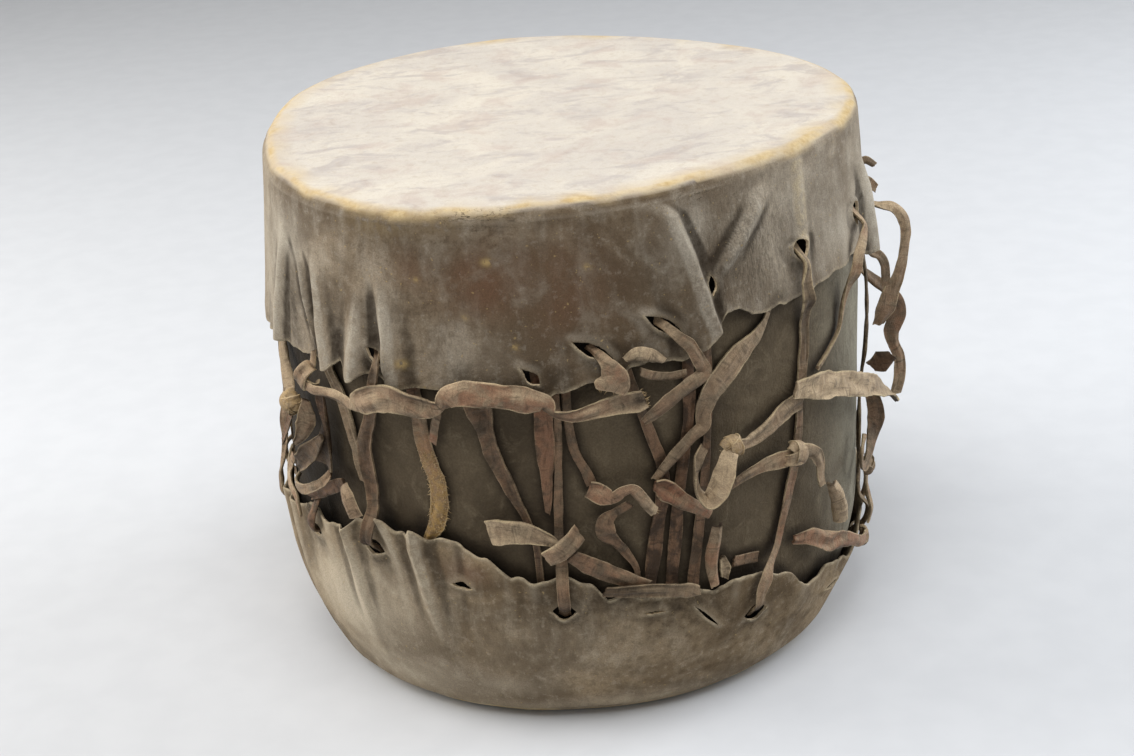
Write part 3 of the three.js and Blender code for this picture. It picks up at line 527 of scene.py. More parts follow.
def strap(width, route, curl=35, red=0.3, pale=0.3, straw=0, fray=0, fuzz=None):
    """A flat strap. Each point of its route is angle, height, lift, and where they change, width and twist.

    A point with no lift lies on the shell. curl bends the strap's section, in degrees: above zero rolled
    with its back outward, below zero cupped. red, pale and straw tint it. All four may change along the
    strap. fray counts loose fibres at its end, and fuzz gives two shares of its length and how many fibres
    stand up between them.
    """
    route = [point if len(point) > 2 else (*point, ON_SHELL) for point in route]
    return dict(width=width, route=route, curl=curl, tints=(red, pale, straw), fray=fray, fuzz=fuzz)


STRAPS = dict(
    # The left side: strands drawn into a bunch, with loose leaves and curled ends
    left_strand_1=strap(8, [
        (-71, 290), (-69.5, 272), (-67.5, 262, -1, 8, -20), (-65.5, 255, 1, 8, -40), (-63, 247, 3, 8, -45),
        (-60.6, 239, 5, 8, -45), (-59.4, 234, 6, 7, -40),
    ], curl=45, pale=0.65),
    left_strand_2=strap(8, [
        (-84, 284), (-84, 262), (-84, 230), (-84, 205), (-84.5, 187, -2.2, 7, -20),
        (-84.5, 172, 0.4, 7, -60), (-84.5, 156, 1.4, 7, -50), (-84, 143, 3.4, 7, -30), (-83.3, 131, 7.4),
        (-83, 124, 7.6), (-83, 115, 7.4), (-83, 107, 0.6), (-83, 102, -2.8),
    ], pale=0.4),
    left_flick=strap(5, [
        (-57.4, 229, 8), (-58.8, 220, 9), (-61.4, 206, 9.5), (-65.2, 189, 10, 3),
    ], curl=40, red=0.8, pale=0.25),
    left_leaf_1=strap(12, [
        (-51.6, 241, 9, 6, -40), (-51.7, 231, 10, 13, -45), (-51.9, 223, 11, 15, -45),
        (-53, 213, 14, 8, -45), (-54.6, 206, 16, 4, -40),
    ], curl=-20, red=0.35, pale=0.5),
    left_bow=strap(14, [
        (-48.6, 216, 7, 4), (-50.6, 208, 7.4, 10, -5), (-53.5, 198, 8.6, 16, -15),
        (-56.5, 187, 9.2, 14, -15), (-58.6, 179, 8.6, 8, -15),
    ], curl=-24, red=0.2, pale=0.25),
    left_leaf_2=strap(14, [
        (-48.8, 247, 2.5, 8), (-48.8, 235, 2.5, 9), (-48.5, 223, 2.5, 10), (-49, 211, 3, 17),
        (-49.6, 201, 3, 22), (-50, 191, 3, 24),
    ], curl=-30, red=(0.6, 0.1, 0), pale=0),
    left_strand_3=strap(12, [
        (-47.5, 284), (-47.2, 266), (-45.1, 252), (-43.5, 234), (-42.4, 216), (-41.4, 197, ON_SHELL, 11),
        (-41, 186, ON_SHELL, 8),
    ], curl=15, red=0.1, pale=0.4),
    left_strand_4=strap(9, [
        (-33.2, 293.5, -2.8, 6), (-32.6, 290.5, 0.8, 6), (-31.9, 285, 9.6, 6), (-32.3, 277, 11, 8),
        (-33.4, 268, 9.5, 8), (-34.6, 258, 4), (-35.8, 250, 0), (-36.9, 238, -0.6, 11), (-38.6, 219, 0, 14),
        (-38.6, 204, 0.2, 14), (-38.2, 184, 0.4, 11), (-37.9, 169, 4.6), (-38.3, 159, 10.4),
        (-38.8, 148, 10.8), (-39.1, 140, 1.8, 8), (-39.2, 135, -2.4, 8),
    ], curl=(-30, -40, -40, -40), pale=0.15),
    left_curl=strap(6.5, [
        (-47.6, 188, 6.5, 6), (-48.4, 183, 10, 7), (-51, 176, 13.5, 7.5), (-55.5, 168, 14, 7.5),
        (-59.5, 166.5, 10.5, 7), (-61, 169, 5.5, 6),
    ], curl=30, red=0.2, pale=(0.2, 0.4, 0.7)),
    left_strand_5=strap(7, [
        (-63.6, 180, 4, 5), (-66.4, 164, 6), (-64.5, 156, 9), (-61.8, 150, 9.5), (-61.5, 142, 9, 5),
        (-61.3, 134, 8.6, 3),
    ], curl=40, red=0.6, pale=0.9),
    left_stub=strap(8, [
        (-56.2, 158, -2), (-56, 149, 4.4), (-55.8, 141, 9.2, 9), (-56.4, 134, 8.4, 8), (-57, 129, 1, 7),
        (-57, 124, -2.8, 7),
    ], curl=50, red=0.5, pale=0),
    left_tail=strap(10, [
        (-57.8, 157, 4.6, 9), (-52.4, 167, 3.6), (-47.6, 178, 3.8, 10), (-44.6, 184, 4, 8),
    ], curl=30, red=0.4, pale=0.05),
    left_flag=strap(17, [
        (-43.4, 184.5, 7, 10), (-42.5, 179, 9, 16), (-41.6, 171, 9.8, 17), (-41, 165, 9, 16),
    ], curl=120, red=0.2, pale=0.4),

    # The upper lashing, twisted from strand to strand across the front
    upper_lashing=strap(12, [
        (-47.6, 282, 6.4, 5), (-47.8, 272, 8, 6), (-49.2, 263, 12, 7), (-46.9, 258, 14, 7),
        (-43.7, 258, 12, 8), (-40.8, 257, 10.5, 9), (-37.6, 254, 11, 8), (-36.3, 257, 12.4, 16),
        (-34.9, 259.5, 13.4, 19), (-32, 264, 14, 20), (-29.5, 266, 14, 20), (-25.3, 263, 12, 18),
        (-22.5, 261, 10.5, 13), (-20.9, 264, 10, 9, 45), (-19.6, 269, 10, 14), (-16.5, 273, 10, 18),
        (-11.5, 271, 10, 18), (-6.6, 267, 10, 17), (-3.7, 264, 10, 11), (-2.8, 257, 9, 8, 40),
        (0.3, 252, 8, 10), (4.2, 254, 8, 10), (7.9, 256, 8, 13), (11.1, 256.5, 9, 16), (12.4, 258, 9.6, 14),
    ], curl=(80, 60, 90, 20, -12, -10, 60, 60, 50, -30, -60), red=(0.2, 0.3, 0.3, 0.4, 0.8, 0.8, 0.4, 0.3),
       pale=(0.65, 0.65, 0.85, 0.8, 0.65, 0.65, 0.6, 0.8), fray=22),

    # Strands on the wood across the front
    front_strand_1=strap(11, [
        (-27.4, 284, ON_SHELL, 10), (-27, 260, ON_SHELL, 10), (-26.6, 248), (-26.4, 229),
        (-25.5, 212, -3, 12), (-24.5, 200, -2.6, 13), (-24.6, 181, -2.4, 14), (-25.8, 165, -2.8, 12),
        (-28, 152, ON_SHELL, 7), (-28.6, 142, ON_SHELL, 5),
    ], red=(0.8, 0.5, 0.2), pale=(0.3, 0.45, 0.4), straw=(0, 0, 0.5, 1, 0.6), fuzz=(0.42, 0.86, 700)),
    front_strand_1b=strap(6, [
        (-21.6, 260, 5, 5), (-22.2, 253, 3.4), (-23.1, 244, 1.5, 6.5), (-24, 231, 0.5, 5),
    ], curl=60, red=0.9, pale=0.4),
    front_strand_2=strap(12, [
        (-17.4, 282, ON_SHELL, 16), (-16.2, 263, ON_SHELL, 19), (-15.4, 253, ON_SHELL, 18),
        (-14.7, 240, ON_SHELL, 12.5), (-13.9, 223), (-12.2, 205, ON_SHELL, 10), (-10.6, 188, ON_SHELL, 7),
        (-9.2, 174, ON_SHELL, 5), (-7.8, 152, ON_SHELL, 5), (-7.6, 134, ON_SHELL, 5),
        (-7.6, 116, ON_SHELL, 5),
    ], curl=-25, pale=0.15),
    front_tail=strap(12, [
        (-4.8, 282), (-4.6, 259), (-4.6, 245), (-4.7, 229), (-4.9, 208, ON_SHELL, 9),
        (-5.1, 187, ON_SHELL, 6), (-5.3, 177, ON_SHELL, 3),
    ], curl=25, red=(0.9, 0.4), pale=0.1),
    front_strand_3=strap(4.5, [
        (-2.2, 280), (-2.2, 240), (-2.8, 208), (-3.4, 178, ON_SHELL, 6), (-3.7, 159, ON_SHELL, 6),
        (-3.6, 143, -2.4, 7), (-3.6, 135, -0.5, 8), (-3.6, 127, 7.4, 8), (-3.6, 112, 8.4, 8),
        (-3.7, 104, 0.8, 7), (-3.8, 99, -2.8, 8),
    ], curl=40, pale=0.2),
    front_strand_4=strap(6, [
        (-0.3, 278), (-0.4, 246), (0.3, 221), (2, 205, ON_SHELL, 7), (2.7, 196, ON_SHELL, 7),
    ], curl=110, pale=0.15),
    front_strand_5=strap(8, [
        (9.6, 284), (11, 262), (12.6, 242), (14.3, 220), (15.6, 202), (15.5, 182, ON_SHELL, 10),
        (14, 153, ON_SHELL, 11), (12.8, 131, ON_SHELL, 11), (12, 114, ON_SHELL, 9), (11.8, 96),
    ], pale=(0.2, 0, 0)),
    front_strand_6=strap(8, [
        (22.4, 292), (22, 262), (21.7, 239), (20.3, 207), (18.4, 171, ON_SHELL, 9),
        (17.3, 142, ON_SHELL, 10), (16.2, 116, ON_SHELL, 9), (16, 96),
    ], pale=0),
    front_strand_7=strap(7, [
        (26.2, 296), (25.8, 262), (25, 217), (23.7, 181), (22.3, 152, ON_SHELL, 8),
        (20.9, 123, ON_SHELL, 9), (20.2, 106, ON_SHELL, 8), (20, 94),
    ], pale=0.08),

    # Straps gathered at two slits of the upper skirt
    gather_strand=strap(9, [
        (16.2, 305, -2.8, 6), (17.5, 301.6, 2.2, 6), (19, 295.5, 10.5, 7), (20.6, 289, 12, 9),
        (22.5, 274, 11.5, 9), (23.3, 267.5, 11.5, 9, 40), (22.2, 263.5, 11, 9, 20), (19.9, 259.5, 10, 11),
        (16.6, 251, 8, 12), (13.8, 243, 6, 9), (12.2, 239, 5, 5),
    ], curl=(40, 40, 60, 30), red=0.3, pale=0.35),
    gather_leaf=strap(12, [
        (4, 295, -2.8, 5), (5, 292.4, 0.8, 5), (6.6, 286.5, 9.4, 9), (7.4, 278.5, 10, 20),
        (7.2, 271.5, 10.6, 24), (6.8, 267, 11, 21),
    ], curl=(40, 50, 60, 40), red=(0.2, 0.6, 0.8), pale=(0.1, 0.5, 0.5), fray=8),
    gather_bar=strap(6, [
        (12.2, 275.5, 7, 5), (13.9, 272, 6.8), (16.2, 268.5, 5.6), (18.7, 267, 5.2), (20.6, 267, 5.2, 4),
    ], curl=60, pale=0.45),
    gather_curl=strap(8, [
        (9.8, 286, 7, 5), (11.5, 289, 9, 11), (13.9, 287, 9.5, 10), (16.3, 281, 9, 4),
    ], curl=130, red=0.1, pale=0.8),

    # The diagonal from under the upper skirt to the lower lashing, and the lower lashing itself
    long_diagonal=strap(12, [
        (41.6, 296, ON_SHELL, 4), (39.4, 282, -3.2, 5), (37.1, 274, -2.6, 12), (32.9, 265, -2, 17),
        (28.8, 254, -0.8, 17), (25.5, 244, 0, 15), (23.8, 232, 0.6, 11), (23.8, 224, 0.8, 10, 15),
        (21.4, 218, 0.6, 10), (18.4, 209, 0.4, 10), (15.8, 200, 0.2, 9), (14.1, 193, 0, 7),
    ], curl=(15, 20, 25, 90, 90), red=0.15, pale=(0.6, 0.55, 0.3, 0.3, 0.3)),
    lower_lashing=strap(9, [
        (2.1, 194, 0, 14), (3.3, 192, 1.5, 16), (4.6, 189.5, 3.5, 15), (6.3, 188, 5), (7.7, 192, 6.5, 7.5),
        (9.4, 193, 7.5, 8), (10.8, 186, 7.5), (12, 178, 6.5), (13.1, 172, 5.5, 8),
    ], curl=(-30, 40, 120, 90), red=(0.8, 0.6, 0.4, 0.2), pale=(0.5, 0.45, 0.5, 0.95), fray=18),
    lashing_tab=strap(12, [
        (13.6, 190, 3.2, 8), (14.6, 188.5, 3.4, 12), (15.9, 183.5, 4, 15), (18.2, 175, 4.4),
        (21.2, 166, 4, 9), (23.6, 158, 3.4, 6),
    ], curl=(-50, -40, 50, 70), red=1.0, pale=0.4),
    hanging_strap=strap(8, [
        (8.9, 180, 3, 6), (6.2, 175, 2.5, 6), (4.6, 170, 3, 12), (4.6, 161, 3, 15), (6.2, 152, 1),
        (8, 141, -0.8, 6), (9.6, 127, -2, 4.5), (9.4, 113, -2.8, 4),
    ], pale=0.15),

    # The knot low in the front, with its flat leaf, its wrap and its tail
    knot_leaf=strap(12, [
        (-15.5, 166, 3.5, 19), (-13.5, 167, 4, 20), (-10.1, 167, 4.5, 16), (-6.7, 163, 5, 11),
        (-4.6, 159, 5.5, 7), (-3.4, 153, 6, 5),
    ], curl=(-10, -25, -40, 60), red=0.15, pale=(0.95, 0.9, 0.6)),
    knot_wrap=strap(13, [
        (-0.1, 165.5, 6), (-1.4, 161, 9, 14), (-3.5, 154, 10.4, 15), (-5.9, 149, 10, 12),
    ], curl=45, pale=(0.2, 0.4, 0.65)),
    knot_tail=strap(12, [
        (-1.6, 146, 3, 10), (1.3, 138, 3.2, 13), (4.6, 130, 3.4, 13), (8.3, 122, 3.6, 11),
        (11, 117, 3.6, 8),
    ], red=0.4, pale=0.2),
    edge_strap=strap(10, [
        (3.4, 118, 7, 6), (6.4, 116.5, 7.2, 9), (9.3, 115, 7.2), (13.6, 111.5, 7, 11), (18.2, 107, 6.8),
        (20.4, 104.5, 6.8, 6),
    ], curl=-25, red=0.1, pale=(0.1, 0.3, 0.4)),
    stub_strap=strap(11, [
        (24.8, 149, 3, 12), (24.4, 138, 2.4, 14), (23.8, 125, 2, 14), (23.5, 113, 2.4, 12),
        (23.4, 104, 5.4, 9),
    ], curl=200, red=0.6, pale=0.5),
    stub_fin=strap(8, [
        (26.5, 119, -2.4, 4), (26.9, 110, -2.4, 9), (26.6, 102.5, -2.4, 7),
    ], curl=-20, red=0, pale=0.9),
    short_strap=strap(8, [(28.8, 112, -2.8), (31.5, 110.5, -2.8), (34.4, 108.5, -2.8)], pale=0.15),

    # Crossing straps on the right, one rolled into a loop and one knotted round a strand
    cross_strap=strap(12, [
        (47.2, 213, -0.6, 14), (44.5, 213, -0.2, 15), (40.7, 210, 0.8, 15), (36.6, 205, 2, 11),
        (32.1, 202, 3.5, 8), (28.9, 204.5, 7.5, 8, 20), (27, 202, 12.5, 12, 45), (25.2, 191, 16, 15, 50),
        (23.9, 180, 15, 15, 50), (22.4, 173, 12, 12, 45), (21, 179, 9.5, 11, 50), (20.7, 193, 8.4, 9, 50),
        (21.7, 204, 6.4, 8), (23, 210, 5.4, 7),
    ], curl=(15, 15, 25, 20, -20, -20, 20), red=0.15, pale=(0.4, 0.45, 0.5, 0.75, 0.95, 0.8, 0.5, 0.3)),
    lower_cross=strap(9, [
        (27.4, 170, -0.4, 4), (31.8, 176, 0.3, 7), (36.3, 179, 1.5, 10), (39.7, 178, 2.5, 11),
        (41.8, 178, 5, 11), (44.1, 180, 8, 12, 20), (47.1, 175, 8.5, 11, 40), (49.2, 162, 7, 8, 20),
        (49.6, 150, 6, 7), (50, 143, 6, 6),
    ], curl=(20, 20, 30, 30, 30), pale=(0.2, 0.5, 0.7, 0.7, 0.6)),
    cone_leaf=strap(14, [
        (53, 141, 6, 10, 40), (54.2, 130, 7.4, 17, 40), (55.6, 116, 7, 18, 40), (56.4, 104, 5.6, 13, 40),
    ], curl=(200, 230, 150), red=0.1, pale=0.85),

    # Strands, leaves and loops of the right side
    right_strand_1=strap(9, [
        (47.7, 327, -2.8, 6), (47.7, 322.5, 0.6, 6), (47.5, 315, 8, 8), (47, 302, 8.4, 9, 20),
        (47.5, 289, 8, 9, 20), (48.6, 277, 0.5), (49.3, 264), (48.5, 234), (47.5, 211, ON_SHELL, 8),
        (46.4, 180, ON_SHELL, 7), (43.8, 156, -3, 10), (42.5, 141, -2.8, 10), (40.6, 123, -3, 7),
        (39, 112, -2, 8), (36.2, 104, 3, 7), (34.2, 96, 7), (32.6, 85, 7.4), (32.3, 77, 7.6, 8),
        (32.3, 70, 0.8, 7), (32.3, 65, -2.8, 7),
    ], curl=(-40, -40, -30, 20, 90, 40, 30), red=(0, 0.1, 0.2, 0.4, 0.7, 0.3, 0.2),
       pale=(0.6, 0.6, 0.4, 0.3, 0.3, 0.5, 0.3)),
    right_strand_2=strap(7, [
        (68.3, 328, -2.8, 6), (68.4, 323.5, 0.6, 6), (68, 315.5, 8.6, 7, 15), (66, 308, 10, 8, 40),
        (63.8, 299, 10, 8, 45), (62.9, 288, 8.6, 8, 40), (62.9, 278, 3.5, 7, 20), (62.6, 262, -1.5, 6),
        (61.2, 245, -2.6, 5), (57.1, 235, -2.9, 4), (53.1, 228, -3, 3),
    ], curl=30, red=(0.7, 0.5, 0.2), pale=(0.5, 0.8, 0.65)),
    loose_leaf=strap(16, [
        (43.9, 226, 4.6, 13), (48.3, 223, 6, 18), (54.7, 215, 7.5, 19), (62.3, 202, 9.5, 19),
        (69, 190, 12, 17), (75, 176, 15, 14, -20), (79, 165, 19, 10, -40), (82, 152, 25, 4, -50),
    ], curl=(-14, -16, -20, -30), red=0.1, pale=(0.95, 0.85, 0.6)),
    right_strand_3=strap(8, [
        (85.5, 298), (85.5, 272, -2), (85.5, 246, 1), (85.5, 222, 2), (85.5, 195, 1), (85.3, 172, -1.5),
        (85, 148), (84.6, 110), (84, 84), (83.5, 70, -1), (83.2, 60, 7), (83, 48, 7.4), (83, 40.5, 0.6),
        (83, 37, -2.4),
    ], red=0, pale=0.2),
    outer_loop=strap(8.5, [
        (88, 310, -2.8, 8), (88, 305, 2, 8), (88, 300, 12, 8, 20), (88, 298, 22, 8.5, 50),
        (88, 290, 29.5, 8.5, 70), (88, 280, 32, 8.5, 75), (88, 261, 30, 8.5, 75), (88, 245, 27, 9, 75),
        (88, 230, 21, 13, 70), (88, 217, 17, 16, 65), (88, 205, 12, 9, 65),
    ], pale=(0.9, 0.7, 0.4)),
    outer_twist=strap(9, [
        (93, 298, ON_SHELL, 8), (93, 272, ON_SHELL, 8), (92.6, 250, -1, 8), (91.8, 238, 8, 9, 30),
        (91.2, 228, 20, 10, 60), (91, 218, 28, 11, 75), (91, 206, 29, 14, 75), (91, 194, 25, 14, 75),
        (91, 184, 26, 9, 75), (91, 170, 31, 9, 75), (91, 156, 31.5, 9, 75), (91, 140, 29, 8, 75),
    ], curl=(15, 20, 40, 30), red=(0.2, 0.3, 0.6, 0.2), pale=(0.3, 0.1, 0.3, 0.75)),
    outer_leaf=strap(14, [(88, 170, 7, 8, 80), (88, 173, 15, 17, 80), (88, 178, 24, 7, 80)], pale=0),
    outer_tip=strap(7, [
        (80.5, 296), (80.5, 283, -2.5), (81, 275, 3), (81.6, 271, 10, 7, 40), (82, 264, 14, 7, 70),
        (82, 256, 15, 7, 75), (82, 246, 15, 6, 75),
    ], pale=0.3),
    outer_nub_1=strap(6, [(97, 322, 5), (97, 324, 13, 6, 80), (97, 319, 20, 5, 80)], pale=0.4),
    outer_nub_2=strap(8, [(97, 309, 5), (97, 307, 13, 8, 80), (97, 300, 20, 6, 80)], pale=0.4),
    right_curl=strap(9, [
        (79, 170, 4, 10, 50), (78.5, 157, 8, 13, 70), (78, 146, 9, 14, 70), (77, 135, 7.5, 11, 45),
        (74, 125, 6, 8, 15), (70, 121, 5, 8), (67.4, 129, 5, 8), (67.4, 140, 5.5, 8), (69.6, 148, 5.5, 7),
    ], curl=(15, 15, 30, 50), pale=(0.1, 0.1, 0.3, 0.6)),
    right_strand_4=strap(8, [
        (89.5, 128), (89.8, 100, -2), (90, 82, 4), (90.4, 66, 8), (90.8, 48, 8), (91, 36, 7.4, 7),
        (91, 29, 0.6, 7), (91, 25, -2.6, 7),
    ], pale=0.5),
    right_strand_5=strap(9, [
        (79, 112, 2), (79.4, 94, 2), (79.6, 78, 4), (79.6, 66, 8.6), (79.4, 56, 9, 8),
    ], pale=0.65),
    right_band=strap(9, [
        (43.4, 109, -1, 8), (47.6, 105, 2, 12), (51.6, 95, 4, 15), (56.5, 87, 5.6, 13), (61, 78, 7, 10),
        (66, 66, 7.5), (71, 57, 8), (75.6, 51, 8.4, 7),
    ], red=0.7, pale=(0.3, 0.4, 0.65)),
)


def knot(at, size, turns, tilt, red=0.3, pale=0.6, straw=0, fray=0):
    """A knot: its place, its width, height and depth, and the turns of strap that show on it."""
    return dict(at=at, size=size, turns=turns, tilt=tilt, tints=(red, pale, straw), fray=fray)


# Knots by the strap that they are tied in
KNOTS = dict(
    left_strand_1=[knot((-57.6, 231, 9), (24, 14, 10), 4, 70, red=0.1, pale=0.6, straw=0.5, fray=90)],
    upper_lashing=[knot((-48.8, 262.5, 11.5), (24, 16, 10), 2, 75, pale=0.5)],
    cross_strap=[knot((28.4, 205, 6.5), (17, 15, 11), 3, 35, red=0.2, pale=0.6, straw=0.35, fray=14)],
    lower_cross=[knot((43, 179.5, 6), (19, 17, 10), 3, 15, red=0.2, pale=0.6)],
    right_strand_5=[knot((78, 106.5, 3.5), (14, 14, 9), 2, 40, pale=0.4)],
    right_band=[knot((78.5, 44, 7.5), (15, 14, 8), 2, 70, pale=0.5)],
)


def slit_turn(angle, edge, side):
    """A strap's turn through a slit of the back: over the edge, in at the slit and out behind the edge."""
    rim = float(edge_height(edge, angle))
    slit = rim + side * BACK["in_edge"]
    enter, leave = angle - BACK["apart"], angle + BACK["apart"]
    return [
        (enter - 1, rim - side * 22, BACK["lift"]), (enter, rim - side * 8, 1),
        (enter, rim + side * 2, BACK["over_edge"]), (enter, slit - side * 6, BACK["over_edge"]),
        (angle, slit - side, 0.6), (leave, slit - side * 6, ON_SHELL),
        (leave + 1, rim - side * 20, BACK["lift"]),
    ]


def back_lacing():
    """The plain zigzag of the back."""
    route = []
    for angle in np.arange(BACK["start"], BACK["end"] + 1, BACK["step"]):
        lower = angle + BACK["step"] / 2
        route += slit_turn(float(signed(angle)), UPPER_EDGE, 1)
        if lower > BACK["end"]:
            break
        route.append((float(signed(angle + BACK["step"] / 4)), BACK["middle"], BACK["lift"]))
        route += slit_turn(float(signed(lower)), LOWER_EDGE, -1)
        route.append((float(signed(lower + BACK["step"] / 4)), BACK["middle"], BACK["lift"]))
    return strap(BACK["width"], route)


def back_lashing():
    """The lashing across the back."""
    route = []
    for angle in range(LASHING["start"], LASHING["end"], LASHING["step"]):
        height = BACK["middle"] + 9 * math.sin(angle * 0.11)
        lift = 1.4 + 0.6 * math.cos(angle * 0.3)
        route.append((float(signed(angle)), height, lift, 10 + 2.5 * math.sin(angle * 0.21)))
    return strap(LASHING["width"], route)


def smooth_path(points, step):
    """A centripetal curve through the points, and each sample's place counted in points."""
    ends = [2 * points[0] - points[1], *points, 2 * points[-1] - points[-2]]
    path, places = [], []
    for i in range(len(points) - 1):
        p0, p1, p2, p3 = ends[i : i + 4]
        d0, d1, d2 = (math.sqrt(np.linalg.norm(b - a)) for a, b in ((p0, p1), (p1, p2), (p2, p3)))
        t1 = ((p1 - p0) / d0 - (p2 - p0) / (d0 + d1) + (p2 - p1) / d1) * d1
        t2 = ((p2 - p1) / d1 - (p3 - p1) / (d1 + d2) + (p3 - p2) / d2) * d1
        count = max(2, round(np.linalg.norm(p2 - p1) / step))
        for t in np.arange(count) / count:
            hermite = (2 * t**3 - 3 * t**2 + 1) * p1 + (t**3 - 2 * t**2 + t) * t1
            hermite = hermite + (3 * t**2 - 2 * t**3) * p2 + (t**3 - t**2) * t2
            path.append(hermite)
            places.append(i + t)
    return np.array([*path, points[-1]]), np.array([*places, len(points) - 1])


def strap_path(shape):
    """A strap's middle line, kept out of the wood, and each sample's place counted in route points."""
    path, places = smooth_path(np.array([place(*point[:3]) for point in shape["route"]]), STRAP_STEP)
    angle, height = angle_of(path), path[:, 2]
    radius = np.maximum(np.hypot(path[:, 0], path[:, 1]), wall_radius(angle, height) + ON_SHELL)
    return cylindrical(angle, height, radius), places


def unit(vectors):
    return vectors / np.linalg.norm(vectors, axis=-1, keepdims=True)


def strap_across(path):
    """Directions across a strap. Its width lies along the wall."""
    along = unit(np.gradient(path, axis=0))
    lying = np.cross(outward(angle_of(path)), along)
    across = []
    for t, w in zip(along, lying):
        if across and np.linalg.norm(w) < 0.35:
            w = across[-1] - t * np.dot(across[-1], t)
        w = unit(w)
        across.append(-w if across and np.dot(w, across[-1]) < 0 else w)
    return np.array(across)


def spread(values, places):
    """One value, or a row of values spread evenly along a strap, at each sample."""
    row = np.atleast_1d(np.array(values, float))
    return np.interp(places / places[-1], np.linspace(0, 1, len(row)), row)


def wave(length, cell, seed):
    """Smooth noise from -1 to 1 along a strap, in cells so many millimetres long."""
    return waver(length / cell * 360 / 64, 64, seed)


